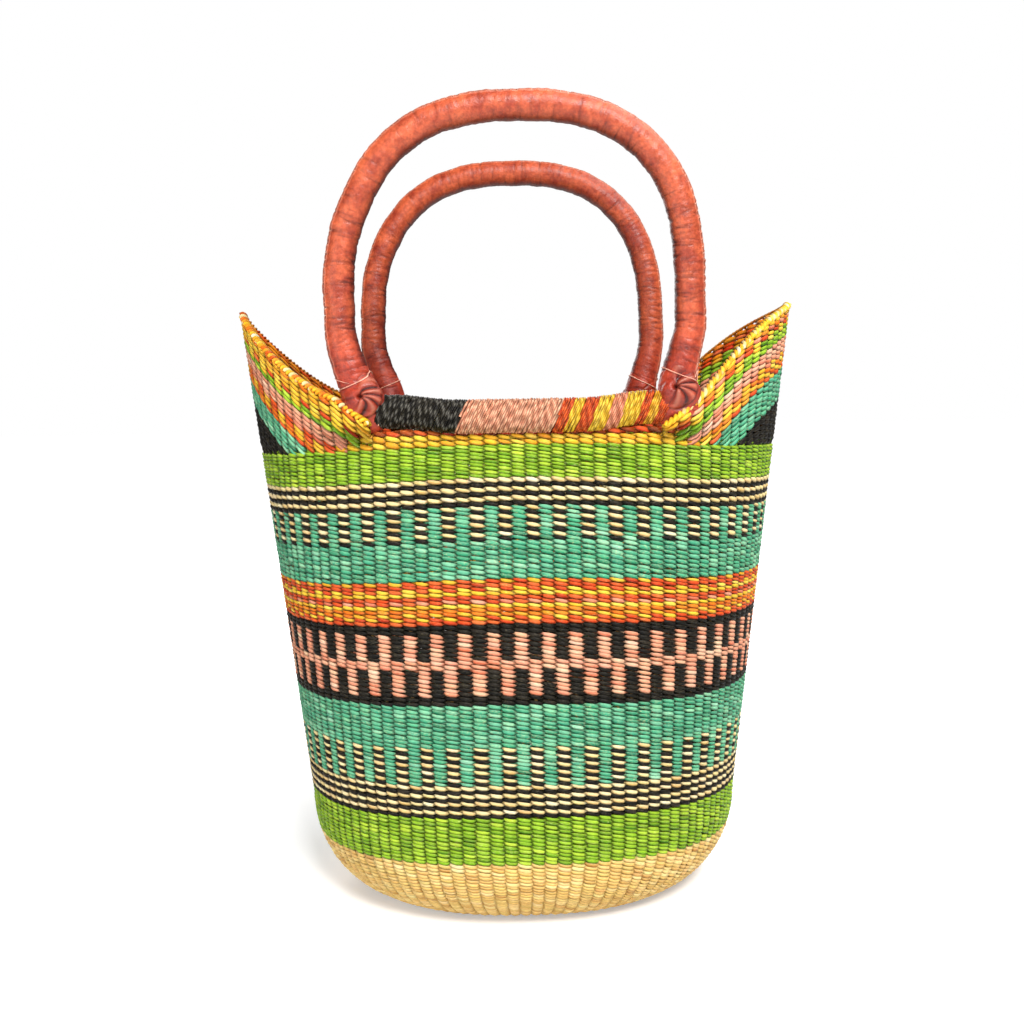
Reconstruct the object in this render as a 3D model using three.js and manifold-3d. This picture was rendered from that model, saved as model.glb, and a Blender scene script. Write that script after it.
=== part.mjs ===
// A handwoven straw shopping basket with two pointed ears and two leather-wrapped handles.
// Millimetres, +Z up. The origin is on the floor under the middle of the base, the front faces -Y.
import * as THREE from 'three';
import { mergeVertices } from 'three/addons/utils/BufferGeometryUtils.js';
import Module from 'manifold-3d';

const wasm = await Module();
wasm.setup();

// The woven body: heights above the floor and half sizes of its outer skin
const RIM_HEIGHT = 321.7; // top of the weave under the rim rolls
const EAR_FOOT_HEIGHT = 344; // top of the weave where an ear starts
const EAR_TIP_HEIGHT = 407.5; // top of the weave at an ear's tip
const EAR_SWELL = { left: 0, right: 9 }; // how far a ridge bulges above a straight line
const TIP_HALF_WIDTH = 200;
const CORNER_HEIGHT = 66; // where the rounded foot of the wall ends
const CORNER_HALF_WIDTH = 152;
const FLAT_HALF_WIDTH = 98; // the part of the base that lies on the floor
const FLAT_HALF_DEPTH = 58;
const BELLY_HEIGHT = 130; // where the wall stands furthest to the front and the back
const BELLY_HALF_DEPTH = 110;
const RIM_HALF_DEPTH = 96.5;
const BASE_RISE = 4; // how far the base's edge turns up before the natural band starts

// The layers of the wall, from the outside in
const WEFT_THICKNESS = 2.4;
const STAKE_THICKNESS = 1.9;
const STAKE_WIDTH = 3.2;
const LAYER_CLEARANCE = 0.8; // between the weft and the stakes
const STAKE_END_CLEARANCE = 2.4; // from a stake's square end to the sloping braid
const CLEARANCE = 0.3; // between pieces that touch on the real basket
const HUB_RADIUS = 32; // where the stakes cross in the middle of the base
const BRAID_HEIGHT = 4;
const BRAID_CLEARANCE = 0.6; // under the braid, whose underside twists round the fold
const MITRE_CLEARANCE = 1.2; // the least height of a stripe where the green band cuts it off

// The rim rolls
const ROLL_OFFSET = 95; // from the middle plane to the middle of a roll
const ROLL_MIDDLE_HEIGHT = 333;
const AXIS_OFFSET = 88; // a roll's ends, and the axis on which its handle swings
const AXIS_HEIGHT = 337;
const FRONT_SHIFT = 3; // the front roll and handle sit a little to the right
const REAR_SHIFT = -1.5;
const ROLL_BEND_START = 38;
const ROLL_BEND_END = 84;
const ROLL_HALF_LENGTH = 111;
const ROLL_CORE_RADIUS = 8;
const LAP_WIDTH = 6.2; // a lap of straw, several strands side by side
const LAP_THICKNESS = 2;
const LAP_RADIUS = 9.9; // from the roll's axis to the middle of a lap
const BLACK_START = -86;
const SALMON_START = -38.5;
const FLAME_START = 23;
const FLAME_END = 86;
const BLACK_TURNS = 6;
const SALMON_TURNS = 8;
const FLAME_TURNS = 8;

// The handles
const ARCH_HALF_SPAN = 111.5; // to the middle of the wrapped tube
const ARCH_RISE = 121;
const SPRING_HEIGHT = 410; // where the straight legs end and the arch starts
const FOOT_HALF_SPAN = 101;
const FOOT_BEND_START = 340;
const FOOT_BEND_END = 395;
const LEG_START = 342;
const CORE_RADIUS = 7.2;
const SLEEVE_INNER_RADIUS = 8;
const SLEEVE_RADIUS = 10;
const SEAM_SIZE = 1.8;
const SEAM_START = 374;
const CUFF_LENGTH = 21;
const CUFF_RADIUS = 13.4;
const CUFF_BARREL = 1.6; // how much smaller a cuff is at its ends
const CUFF_EDGE = 4;
const CUFF_CLEARANCE = 0.5; // lets the cuff turn on the roll
const KNOT_RADIUS = 9.5;
const KNOT_HEIGHT = 7;
const KNOT_RISE = 5; // the knot sits a little above the axis
const KNOT_LOBE = 0.9;
const THONG_HEIGHT = 362;
const THONG_WIDTH = 2.6;
const THONG_THICKNESS = 1.3;
const THONG_CLEARANCE = 0.7;
const THONG_LEAN = 1.6; // from the thong's middle to its higher end
const CUT_OVERRUN = 6;

// Counts, angles and the powers that shape an outline
const FACETS = 9; // flat faces in a quarter of the outline
const RIM_FACETS = 5; // the ear starts after this many of them
const HANDLE_LEAN = THREE.MathUtils.degToRad(3); // how far a handle leans outwards at rest
const FOOT_POWER = { width: 2.35, depth: 1.6, spread: 1.5 };
const TOP_POWER = { width: 4, depth: 1.2, spread: 1.2 };
const ARCH_POWER = 2.5;
const CUFF_SIDES = 16;
const NEAREST_STATION_SHARE = 0.002; // stations closer than this are one
const HALVINGS = 40; // steps in the search for a stripe's foot
const STEPS_PER_TURN = 10; // of a winding
const NEXT_TURN_SHARES = { from: 0.8, to: 1.3 }; // the steps of a winding that lie beside a step

// Tops of the woven bands, as shares of the rim height at the front and at the fold
const BAND_SHARES = [
  { name: 'natural_band', front: 0.155, fold: 0.13, steps: 3, colour: 'natural' },
  { name: 'lower_green_band', front: 0.25, fold: 0.2235, steps: 3, colour: 'green' },
  { name: 'lower_ticking_band', front: 0.314, fold: 0.29, steps: 1, colour: 'cream' },
  { name: 'lower_lattice_band', front: 0.389, fold: 0.368, steps: 1, colour: 'lattice' },
  { name: 'lower_teal_band', front: 0.472, fold: 0.454, steps: 1, colour: 'teal' },
  { name: 'black_pink_band', front: 0.629, fold: 0.611, steps: 1, colour: 'pink' },
  { name: 'orange_band', front: 0.717, fold: 0.692, steps: 1, colour: 'orange' },
  { name: 'upper_teal_band', front: 0.791, fold: 0.767, steps: 1, colour: 'teal' },
  { name: 'upper_lattice_band', front: 0.859, fold: 0.835, steps: 1, colour: 'lattice' },
  { name: 'upper_ticking_band', front: 0.914, fold: 0.891, steps: 1, colour: 'cream' },
  { name: 'upper_green_band', front: 0.979, fold: 0.961, steps: 1, colour: 'green' },
];
const GREEN_TOP = BAND_SHARES[BAND_SHARES.length - 1];

// Stripes of an ear from its ridge down, as shares of the ear's height at its fold
const EAR_STRIPE_SHARES = {
  left: { gold: 0.14, green: 0.065, pink: 0.095, orange: 0.13, teal: 0.18, black: 0.39 },
  right: { gold: 0.11, green: 0.085, pink: 0.085, orange: 0.16, teal: 0.22, black: 0.34 },
};

const straw = { roughness: 0.55, metalness: 0 };
const MATERIALS = {
  natural: { color: 0xd9b46a, ...straw },
  cream: { color: 0xd8c48c, ...straw },
  green: { color: 0x8db92e, ...straw },
  teal: { color: 0x3faf90, ...straw },
  lattice: { color: 0x6f9f80, ...straw },
  orange: { color: 0xe06a1f, ...straw },
  gold: { color: 0xf2a51e, ...straw },
  flame: { color: 0xe8701f, ...straw },
  pink: { color: 0xe8937a, ...straw },
  black: { color: 0x1e1a14, ...straw },
  grass: { color: 0xb9975a, roughness: 0.8, metalness: 0 },
  leather: { color: 0xc4553a, roughness: 0.45, metalness: 0 },
  thong: { color: 0xdf9a80, roughness: 0.6, metalness: 0 },
};

const basket = new THREE.Group();

// Adds a named mesh of one material to a group.
function addPiece(group, name, geometry, colour) {
  const mesh = new THREE.Mesh(geometry, new THREE.MeshStandardMaterial(MATERIALS[colour]));
  mesh.name = name;
  group.add(mesh);
  return mesh;
}

// Keeps only the positions of a geometry, joins its shared points and drops faces without area.
function closedSkin(geometry) {
  const source = geometry.clone();
  source.deleteAttribute('normal');
  source.deleteAttribute('uv');
  const merged = mergeVertices(source);
  const index = merged.index.array;
  const kept = [];
  for (let i = 0; i < index.length; i += 3) {
    const [a, b, c] = [index[i], index[i + 1], index[i + 2]];
    if (a !== b && b !== c && c !== a) kept.push(a, b, c);
  }
  merged.setIndex(kept);
  return facingOut(merged);
}

// Turns a closed skin's faces over if they point inwards.
function facingOut(geometry) {
  const place = geometry.attributes.position;
  const index = geometry.index.array;
  const corner = [0, 1, 2].map(() => new THREE.Vector3());
  let volume = 0;
  for (let i = 0; i < index.length; i += 3) {
    corner.forEach((point, k) => point.fromBufferAttribute(place, index[i + k]));
    volume += corner[0].dot(corner[1].clone().cross(corner[2]));
  }
  if (volume < 0) {
    const turned = [];
    for (let i = 0; i < index.length; i += 3) turned.push(index[i], index[i + 2], index[i + 1]);
    geometry.setIndex(turned);
  }
  geometry.computeVertexNormals();
  return geometry;
}

// Joins rings of points, each with the same even count, end to end or round a loop.
function skinOf(rings, loop = false) {
  const size = rings[0].length;
  const index = [];
  const joints = loop ? rings.length : rings.length - 1;
  for (let ring = 0; ring < joints; ring++) {
    const here = ring * size;
    const there = ((ring + 1) % rings.length) * size;
    for (let k = 0; k < size; k++) {
      const next = (k + 1) % size;
      index.push(here + k, here + next, there + next, here + k, there + next, there + k);
    }
  }
  if (!loop) {
    const far = (rings.length - 1) * size;
    for (let k = 0; k < size / 2 - 1; k++) {
      const [a, b, c, d] = [k, k + 1, size - 2 - k, size - 1 - k];
      index.push(a, c, b, a, d, c, far + a, far + b, far + c, far + a, far + c, far + d);
    }
  }
  const geometry = new THREE.BufferGeometry().setFromPoints(rings.flat());
  geometry.setIndex(index);
  return closedSkin(geometry);
}

// Makes a solid for joining and cutting from a closed geometry, and turns one back.
function solidOf(geometry) {
  const skin = closedSkin(geometry);
  return new wasm.Manifold(new wasm.Mesh({
    numProp: 3,
    vertProperties: new Float32Array(skin.attributes.position.array),
    triVerts: new Uint32Array(skin.index.array),
  }));
}

function geometryOf(solid) {
  const mesh = solid.getMesh();
  const geometry = new THREE.BufferGeometry();
  geometry.setAttribute('position', new THREE.BufferAttribute(new Float32Array(mesh.vertProperties), 3));
  geometry.setIndex(new THREE.BufferAttribute(new Uint32Array(mesh.triVerts), 1));
  return closedSkin(geometry);
}

const mix = THREE.MathUtils.lerp;
const smooth = THREE.MathUtils.smoothstep;

// Half sizes, height and powers of the outline at a height of the outer skin, so deep in the wall.
function outlineAt(height, depth) {
  const wall = Math.max(height, CORNER_HEIGHT);
  const rise = (wall - CORNER_HEIGHT) / (EAR_TIP_HEIGHT - CORNER_HEIGHT);
  const halfWidth = mix(CORNER_HALF_WIDTH, TIP_HALF_WIDTH, rise);
  const fall = (wall - BELLY_HEIGHT) / (RIM_HEIGHT - BELLY_HEIGHT);
  const halfDepth = BELLY_HALF_DEPTH - (BELLY_HALF_DEPTH - RIM_HALF_DEPTH) * fall * fall;
  const pinch = Math.min(1, (wall - CORNER_HEIGHT) / (RIM_HEIGHT - CORNER_HEIGHT));
  const powers = {
    width: mix(FOOT_POWER.width, TOP_POWER.width, pinch),
    depth: mix(FOOT_POWER.depth, TOP_POWER.depth, pinch),
    spread: mix(FOOT_POWER.spread, TOP_POWER.spread, pinch),
  };
  const down = 1 - Math.min(height, CORNER_HEIGHT) / CORNER_HEIGHT;
  const out = Math.sqrt(1 - down * down);
  return {
    halfWidth: FLAT_HALF_WIDTH + (halfWidth - FLAT_HALF_WIDTH - depth) * out,
    halfDepth: FLAT_HALF_DEPTH + (halfDepth - FLAT_HALF_DEPTH - depth) * out,
    height: wall - (CORNER_HEIGHT - depth) * down * (height < CORNER_HEIGHT ? 1 : 0),
    powers,
  };
}

// How far a station is from the middle of the front or back, 0, to the fold, 1. There are four
// quarters round the basket: 0 is the front middle, 1 the right fold, 2 the back middle, 3 the left fold.
function shareOf(turn) {
  const quarter = ((turn % 4) + 4) % 4;
  return quarter <= 2 ? 1 - Math.abs(quarter - 1) : 1 - Math.abs(quarter - 3);
}

// A point of the wall at a station, a height of the outer skin and a depth into the wall.
function wallPoint(turn, height, depth) {
  const quarter = ((turn % 4) + 4) % 4;
  const right = quarter <= 2 ? 1 : -1;
  const front = quarter <= 1 || quarter >= 3 ? -1 : 1;
  const outline = outlineAt(height, depth);
  const width = 1 - (1 - shareOf(turn)) ** outline.powers.spread;
  const reach = Math.max(0, 1 - width ** outline.powers.width) ** (1 / outline.powers.depth);
  return new THREE.Vector3(
    right * outline.halfWidth * width, front * outline.halfDepth * reach, outline.height,
  );
}

// The same on the flat face between the two corner stations that the station lies between.
function facetPoint(turn, height, depth) {
  const along = turn * FACETS;
  const low = Math.floor(along + NEAREST_STATION_SHARE);
  const start = wallPoint(low / FACETS, height, depth);
  return start.lerp(wallPoint((low + 1) / FACETS, height, depth), along - low);
}

// The top of a band at a station.
const bandTop = (band) => (turn) => {
  const share = shareOf(turn);
  const middle = Math.cos((share * Math.PI) / 2) ** 2;
  return RIM_HEIGHT * mix(band.fold, band.front, middle);
};

const earFoot = RIM_FACETS / FACETS;

// The ridge of an ear's weave at a station.
const earRidge = (side) => (turn) => {
  const climb = (shareOf(turn) - earFoot) / (1 - earFoot);
  const swell = EAR_SWELL[side] * Math.sin(Math.PI * climb);
  return mix(EAR_FOOT_HEIGHT, EAR_TIP_HEIGHT, climb) + swell;
};

// The section of a woven band at a station: up the outside and down the inside.
function bandSection(turn, lower, upper, steps, innerDepth) {
  const [bottom, top] = [lower(turn) + CLEARANCE / 2, upper(turn) - CLEARANCE / 2];
  const levels = Array.from({ length: steps + 1 }, (_, k) => mix(bottom, top, k / steps));
  const outside = levels.map((level) => facetPoint(turn, level, 0));
  const inside = levels.map((level) => facetPoint(turn, level, innerDepth));
  return [...outside, ...inside.reverse()];
}

// Stations from one turn to another, with the flat faces' corners and any others that lie between.
function stationsBetween(from, to, others = []) {
  const all = [from, to, ...others];
  for (let k = Math.ceil(from * FACETS); k < to * FACETS; k++) all.push(k / FACETS);
  const sorted = all.filter((turn) => turn >= from && turn <= to).sort((a, b) => a - b);
  return sorted.filter((turn, k) => k === 0 || turn - sorted[k - 1] > NEAREST_STATION_SHARE);
}

// The base: a flat mat whose edge turns up a little.
function buildBase() {
  const rings = [];
  for (let k = 0; k < 4 * FACETS; k++) {
    const turn = k / FACETS;
    const edge = BASE_RISE - CLEARANCE / 2;
    rings.push([
      new THREE.Vector3(0, 0, 0),
      wallPoint(turn, 0, 0),
      wallPoint(turn, edge, 0),
      wallPoint(turn, edge, WEFT_THICKNESS),
      wallPoint(turn, 0, WEFT_THICKNESS),
      new THREE.Vector3(0, 0, WEFT_THICKNESS),
    ]);
  }
  addPiece(basket, 'woven_base', skinOf(rings, true), 'natural');
}

// The eleven woven bands, each a ring on the one below.
function buildBands() {
  let lower = () => BASE_RISE;
  for (const band of BAND_SHARES) {
    const upper = bandTop(band);
    const rings = [];
    for (let k = 0; k < 4 * FACETS; k++) {
      rings.push(bandSection(k / FACETS, lower, upper, band.steps, WEFT_THICKNESS));
    }
    addPiece(basket, band.name, skinOf(rings, true), band.colour);
    lower = upper;
  }
}

// The two rows of weave under each rim roll, between the ears.
function buildRimBands() {
  for (const [name, middle] of [['front_rim_band', 4], ['rear_rim_band', 2]]) {
    const stations = stationsBetween(middle - earFoot, middle + earFoot);
    const rings = stations.map(
      (turn) => bandSection(turn, bandTop(GREEN_TOP), () => RIM_HEIGHT, 1, WEFT_THICKNESS),
    );
    addPiece(basket, name, skinOf(rings), 'gold');
  }
}

// Where a line that runs so far below an ear's ridge comes down to the green band.
function stripeFoot(ridge, below) {
  let [low, high] = [earFoot + CLEARANCE / TIP_HALF_WIDTH, 1];
  const spare = (turn) => ridge(turn) - below - bandTop(GREEN_TOP)(turn) - MITRE_CLEARANCE;
  if (spare(low) > 0) return low;
  for (let k = 0; k < HALVINGS; k++) {
    const middle = (low + high) / 2;
    if (spare(middle) > 0) high = middle;
    else low = middle;
  }
  return high;
}

// The stripes of an ear run along its ridge and are cut off by the green band.
function buildEar(side, fold) {
  const ridge = earRidge(side);
  const height = EAR_TIP_HEIGHT - bandTop(GREEN_TOP)(fold);
  const stripes = Object.entries(EAR_STRIPE_SHARES[side]);
  const depths = [0];
  for (const [, share] of stripes) depths.push(depths[depths.length - 1] + share * height);
  const spans = depths.slice(0, -1).map((below) => 1 - stripeFoot(ridge, below));
  const feet = spans.flatMap((span) => [fold - span, fold + span]);
  stripes.forEach(([colour], k) => {
    const upper = (turn) => ridge(turn) - depths[k];
    const lower = (turn) => Math.max(ridge(turn) - depths[k + 1], bandTop(GREEN_TOP)(turn));
    const stations = stationsBetween(fold - spans[k], fold + spans[k], feet);
    const rings = stations.map((turn) => bandSection(turn, lower, upper, 1, WEFT_THICKNESS));
    addPiece(basket, `${side}_ear_${colour}_stripe`, skinOf(rings), colour);
  });
  const braidTop = (turn) => ridge(turn) + BRAID_HEIGHT;
  const thickness = WEFT_THICKNESS + LAYER_CLEARANCE + STAKE_THICKNESS;
  const braidFoot = (turn) => ridge(turn) + BRAID_CLEARANCE - CLEARANCE;
  const rings = stationsBetween(fold - spans[0], fold + spans[0], feet).map(
    (turn) => bandSection(turn, braidFoot, braidTop, 1, thickness),
  );
  addPiece(basket, `${side}_ear_braid`, skinOf(rings), 'gold');
}

// The stakes cross in the middle of the base and run up inside the weft to the rim.
function buildStakes() {
  const outerDepth = WEFT_THICKNESS + LAYER_CLEARANCE;
  const innerDepth = outerDepth + STAKE_THICKNESS;
  const low = bandTop(BAND_SHARES[0]);
  const green = bandTop(BAND_SHARES[1]);
  const floor = () => 0;
  const baseTop = () => BASE_RISE;
  const between = (from, to, share) => (turn) => mix(from(turn), to(turn), share);
  const levels = [
    floor, baseTop, between(baseTop, low, 1 / 3), between(baseTop, low, 2 / 3), low,
    between(low, green, 1 / 3), between(low, green, 2 / 3), green,
    bandTop(BAND_SHARES[3]), bandTop(BAND_SHARES[5]), bandTop(BAND_SHARES[7]),
  ];
  const hub = new THREE.CylinderGeometry(HUB_RADIUS, HUB_RADIUS, STAKE_THICKNESS, 4 * FACETS / 2);
  hub.rotateX(Math.PI / 2).translate(0, 0, (outerDepth + innerDepth) / 2);
  let stakes = solidOf(hub);
  for (let k = 0; k < 4 * FACETS; k += 2) {
    const turn = (k + 0.5) / FACETS;
    const share = shareOf(turn);
    const ridge = earRidge(turn < 2 ? 'right' : 'left');
    const top = (at) => (share > earFoot ? ridge(at) - STAKE_END_CLEARANCE : RIM_HEIGHT);
    const across = wallPoint((k + 1) / FACETS, 0, 0).sub(wallPoint(k / FACETS, 0, 0)).normalize();
    const side = across.multiplyScalar(STAKE_WIDTH / 2);
    const section = (place) => {
      const [outer, inner] = [place(outerDepth), place(innerDepth)];
      return [
        outer.clone().add(side), outer.clone().sub(side), inner.clone().sub(side), inner.clone().add(side),
      ];
    };
    const start = section((depth) => {
      const edge = facetPoint(turn, 0, depth);
      return new THREE.Vector3(edge.x, edge.y, 0).setLength(HUB_RADIUS / 2).setZ(depth);
    });
    const rings = [...levels, top].map((level) => section((depth) => facetPoint(turn, level(turn), depth)));
    rings.unshift(start);
    stakes = stakes.add(solidOf(skinOf(rings)));
  }
  addPiece(basket, 'warp_stakes', geometryOf(stakes), 'grass');
}

// The middle of a roll: between its ends it sags and bows outwards over the rim.
function rollPoint(x) {
  const bend = smooth(Math.abs(x), ROLL_BEND_START, ROLL_BEND_END);
  const out = mix(ROLL_OFFSET - AXIS_OFFSET, 0, bend);
  return new THREE.Vector3(x, -out, mix(ROLL_MIDDLE_HEIGHT - AXIS_HEIGHT, 0, bend));
}

// One winding of flat laps round the roll, as rings of four points.
function windingRings(from, to, turns) {
  const rings = [];
  for (let k = 0; k <= turns * STEPS_PER_TURN; k++) {
    const angle = (k / STEPS_PER_TURN) * 2 * Math.PI;
    const x = mix(from + LAP_WIDTH / 2, to - LAP_WIDTH / 2, k / (turns * STEPS_PER_TURN));
    const out = new THREE.Vector3(0, -Math.cos(angle), Math.sin(angle));
    const corner = (along, outward) => rollPoint(x + along * LAP_WIDTH / 2)
      .addScaledVector(out, LAP_RADIUS + outward * LAP_THICKNESS / 2);
    rings.push([corner(-1, 1), corner(1, 1), corner(1, -1), corner(-1, -1)]);
  }
  return rings;
}

// The least distance between points of a winding that lie beside each other, a turn apart.
function leastGap(rings) {
  let least = Infinity;
  const [from, to] = [NEXT_TURN_SHARES.from * STEPS_PER_TURN, NEXT_TURN_SHARES.to * STEPS_PER_TURN];
  rings.forEach((ring, k) => rings.slice(k + from, k + to).forEach((other) => {
    for (const a of ring) for (const b of other) least = Math.min(least, a.distanceTo(b));
  }));
  return least;
}

// A rim roll: a bundle of grass wound with black, salmon and flame-coloured straw.
function buildRoll(name, place, shift, turned) {
  const group = new THREE.Group();
  group.position.set(shift, place, AXIS_HEIGHT);
  group.rotation.z = turned;
  const [sides, bendSteps] = [12, 5];
  const stops = [-ROLL_HALF_LENGTH];
  for (let k = 0; k <= bendSteps; k++) stops.push(mix(-ROLL_BEND_END, -ROLL_BEND_START, k / bendSteps));
  const places = [...stops, ...stops.map((x) => -x).reverse()];
  const rings = places.map((x) => Array.from({ length: sides }, (_, k) => {
    const angle = (k / sides) * 2 * Math.PI;
    const out = new THREE.Vector3(0, Math.cos(angle), Math.sin(angle));
    return rollPoint(x).addScaledVector(out, ROLL_CORE_RADIUS);
  }));
  addPiece(group, `${name}_roll_core`, skinOf(rings), 'grass');
  const windings = [
    ['black', BLACK_START, SALMON_START, BLACK_TURNS],
    ['pink', SALMON_START, FLAME_START, SALMON_TURNS],
    ['flame', FLAME_START, FLAME_END, FLAME_TURNS],
  ];
  for (const [colour, from, to, turns] of windings) {
    const laps = windingRings(from + CLEARANCE, to - CLEARANCE, turns);
    console.log(`${name} ${colour} winding: least gap to itself ${leastGap(laps).toFixed(2)} mm`);
    addPiece(group, `${name}_${colour}_winding`, skinOf(laps), colour);
  }
  basket.add(group);
}

// Half the distance between the two legs at a height.
function legHalfSpan(height) {
  return mix(FOOT_HALF_SPAN, ARCH_HALF_SPAN, smooth(height, FOOT_BEND_START, FOOT_BEND_END));
}

// The middle line of a handle, seen along Y, from its left foot to its right foot.
function handleLine() {
  const leg = [];
  const stepsUp = 5;
  for (let k = 0; k <= stepsUp; k++) {
    const z = mix(LEG_START, FOOT_BEND_END, k / stepsUp);
    leg.push(new THREE.Vector3(legHalfSpan(z), 0, z - AXIS_HEIGHT));
  }
  const arch = [];
  const stepsOver = 14;
  for (let k = 0; k <= stepsOver; k++) {
    const angle = (k / stepsOver) * Math.PI;
    const across = Math.cos(angle);
    const x = ARCH_HALF_SPAN * Math.sign(across) * Math.abs(across) ** (2 / ARCH_POWER);
    const z = SPRING_HEIGHT + ARCH_RISE * Math.max(0, Math.sin(angle)) ** (2 / ARCH_POWER);
    arch.push(new THREE.Vector3(x, 0, z - AXIS_HEIGHT));
  }
  const left = leg.map((point) => new THREE.Vector3(-point.x, 0, point.z));
  return [...left, ...arch.reverse(), ...leg.reverse()];
}

// The corners of a regular outline.
function circlePoints(radius, sides) {
  return Array.from({ length: sides }, (_, k) => {
    const angle = (k / sides) * 2 * Math.PI;
    return new THREE.Vector2(radius * Math.cos(angle), radius * Math.sin(angle));
  });
}

// A tube of the given section along the handle's middle line, cut away round both cuffs.
function handleTube(shape) {
  const path = new THREE.CatmullRomCurve3(handleLine());
  const tube = new THREE.ExtrudeGeometry(shape, { steps: 30, bevelEnabled: false, extrudePath: path });
  let solid = solidOf(tube);
  for (const side of [-1, 1]) {
    const radius = (CUFF_RADIUS + CLEARANCE) / Math.cos(Math.PI / CUFF_SIDES);
    const cutter = new THREE.CylinderGeometry(radius, radius, CUFF_LENGTH + 2 * CUT_OVERRUN, CUFF_SIDES);
    cutter.rotateZ(Math.PI / 2).translate(side * FOOT_HALF_SPAN, 0, 0);
    solid = solid.subtract(solidOf(cutter));
  }
  return geometryOf(solid);
}

// The lip of the leather's seam on the outer side of the arch.
function seamRings() {
  const path = new THREE.CatmullRomCurve3(handleLine());
  const count = 60;
  const rings = [];
  for (let k = 0; k <= count; k++) {
    const point = path.getPoint(k / count);
    if (point.z + AXIS_HEIGHT < SEAM_START) continue;
    const along = path.getTangent(k / count);
    const out = new THREE.Vector3(along.z, 0, -along.x).multiplyScalar(-1);
    const across = new THREE.Vector3(0, 1, 0);
    const middle = SLEEVE_RADIUS + CLEARANCE + SEAM_SIZE / 2;
    const corner = (outward, aside) => point.clone()
      .addScaledVector(out, middle + outward * SEAM_SIZE / 2).addScaledVector(across, aside * SEAM_SIZE / 2);
    rings.push([corner(1, 1), corner(1, -1), corner(-1, -1), corner(-1, 1)]);
  }
  return rings;
}

// A leather cuff that turns on the end of the roll.
function cuffGeometry() {
  const inner = ROLL_CORE_RADIUS + CUFF_CLEARANCE;
  const half = CUFF_LENGTH / 2;
  const profile = [
    new THREE.Vector2(inner, -half), new THREE.Vector2(CUFF_RADIUS - CUFF_BARREL, -half),
    new THREE.Vector2(CUFF_RADIUS, CUFF_EDGE - half), new THREE.Vector2(CUFF_RADIUS, half - CUFF_EDGE),
    new THREE.Vector2(CUFF_RADIUS - CUFF_BARREL, half), new THREE.Vector2(inner, half),
    new THREE.Vector2(inner, -half),
  ];
  const cuff = new THREE.LatheGeometry(profile, CUFF_SIDES);
  cuff.rotateZ(Math.PI / 2);
  return closedSkin(cuff);
}

// The gathered knot on a cuff's outer face, a dome with folds.
function knotGeometry() {
  const sides = 14;
  const back = CUFF_RADIUS + CLEARANCE;
  const shares = [
    { out: 0, wide: 0 }, { out: 0, wide: 0.85 }, { out: 0.35, wide: 1 }, { out: 0.8, wide: 0.7 },
    { out: 1, wide: 0.35 }, { out: 0.85, wide: 0 },
  ];
  const rings = shares.map(({ out, wide }) => Array.from({ length: sides }, (_, k) => {
    const angle = (k / sides) * 2 * Math.PI;
    const radius = wide * (KNOT_RADIUS + (k % 2 ? -KNOT_LOBE : KNOT_LOBE) / 2);
    return new THREE.Vector3(
      radius * Math.cos(angle), -(back + out * KNOT_HEIGHT), KNOT_RISE + radius * Math.sin(angle),
    );
  }));
  return skinOf(rings);
}

// A thin thong tied round a leg just above its foot.
function thongGeometry() {
  const count = 12;
  const inner = SLEEVE_RADIUS + THONG_CLEARANCE;
  const outer = inner + THONG_THICKNESS;
  const rings = [];
  for (let k = 0; k < count; k++) {
    const angle = (k / count) * 2 * Math.PI;
    const lean = THONG_LEAN * Math.sin(angle);
    const corner = (radius, up) => new THREE.Vector3(
      radius * Math.cos(angle), radius * Math.sin(angle), lean + up * THONG_WIDTH / 2,
    );
    rings.push([corner(outer, -1), corner(outer, 1), corner(inner, 1), corner(inner, -1)]);
  }
  return skinOf(rings, true);
}

// A handle: a grass core in a leather sleeve, with its seam, and a cuff, knot and thong on each foot.
function buildHandle(name, place, shift, turned) {
  const group = new THREE.Group();
  group.position.set(shift, place, AXIS_HEIGHT);
  group.rotation.set(HANDLE_LEAN, 0, turned, 'ZYX');
  const core = new THREE.Shape(circlePoints(CORE_RADIUS, 8));
  addPiece(group, `${name}_handle_core`, handleTube(core), 'grass');
  const sleeve = new THREE.Shape(circlePoints(SLEEVE_RADIUS, 10));
  sleeve.holes.push(new THREE.Path(circlePoints(SLEEVE_INNER_RADIUS, 10)));
  addPiece(group, `${name}_handle_leather`, handleTube(sleeve), 'leather');
  addPiece(group, `${name}_handle_seam`, skinOf(seamRings()), 'leather');
  const bend = (THONG_HEIGHT - FOOT_BEND_START) / (FOOT_BEND_END - FOOT_BEND_START);
  const slope = (6 * bend * (1 - bend) * (ARCH_HALF_SPAN - FOOT_HALF_SPAN)) / (FOOT_BEND_END - FOOT_BEND_START);
  for (const [side, sign] of [['left', -1], ['right', 1]]) {
    addPiece(group, `${name}_${side}_cuff`, cuffGeometry(), 'leather').position.x = sign * FOOT_HALF_SPAN;
    addPiece(group, `${name}_${side}_knot`, knotGeometry(), 'leather').position.x = sign * FOOT_HALF_SPAN;
    const thong = addPiece(group, `${name}_${side}_thong`, thongGeometry(), 'thong');
    thong.position.set(sign * legHalfSpan(THONG_HEIGHT), 0, THONG_HEIGHT - AXIS_HEIGHT);
    thong.rotation.y = sign * Math.atan(slope);
  }
  basket.add(group);
}

buildBase();
buildBands();
buildRimBands();
buildEar('right', 1);
buildEar('left', 3);
buildStakes();
buildRoll('front', -AXIS_OFFSET, FRONT_SHIFT, 0);
buildRoll('rear', AXIS_OFFSET, REAR_SHIFT, Math.PI);
buildHandle('front', -AXIS_OFFSET, FRONT_SHIFT, 0);
buildHandle('rear', AXIS_OFFSET, REAR_SHIFT, Math.PI);

export default basket;
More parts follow.
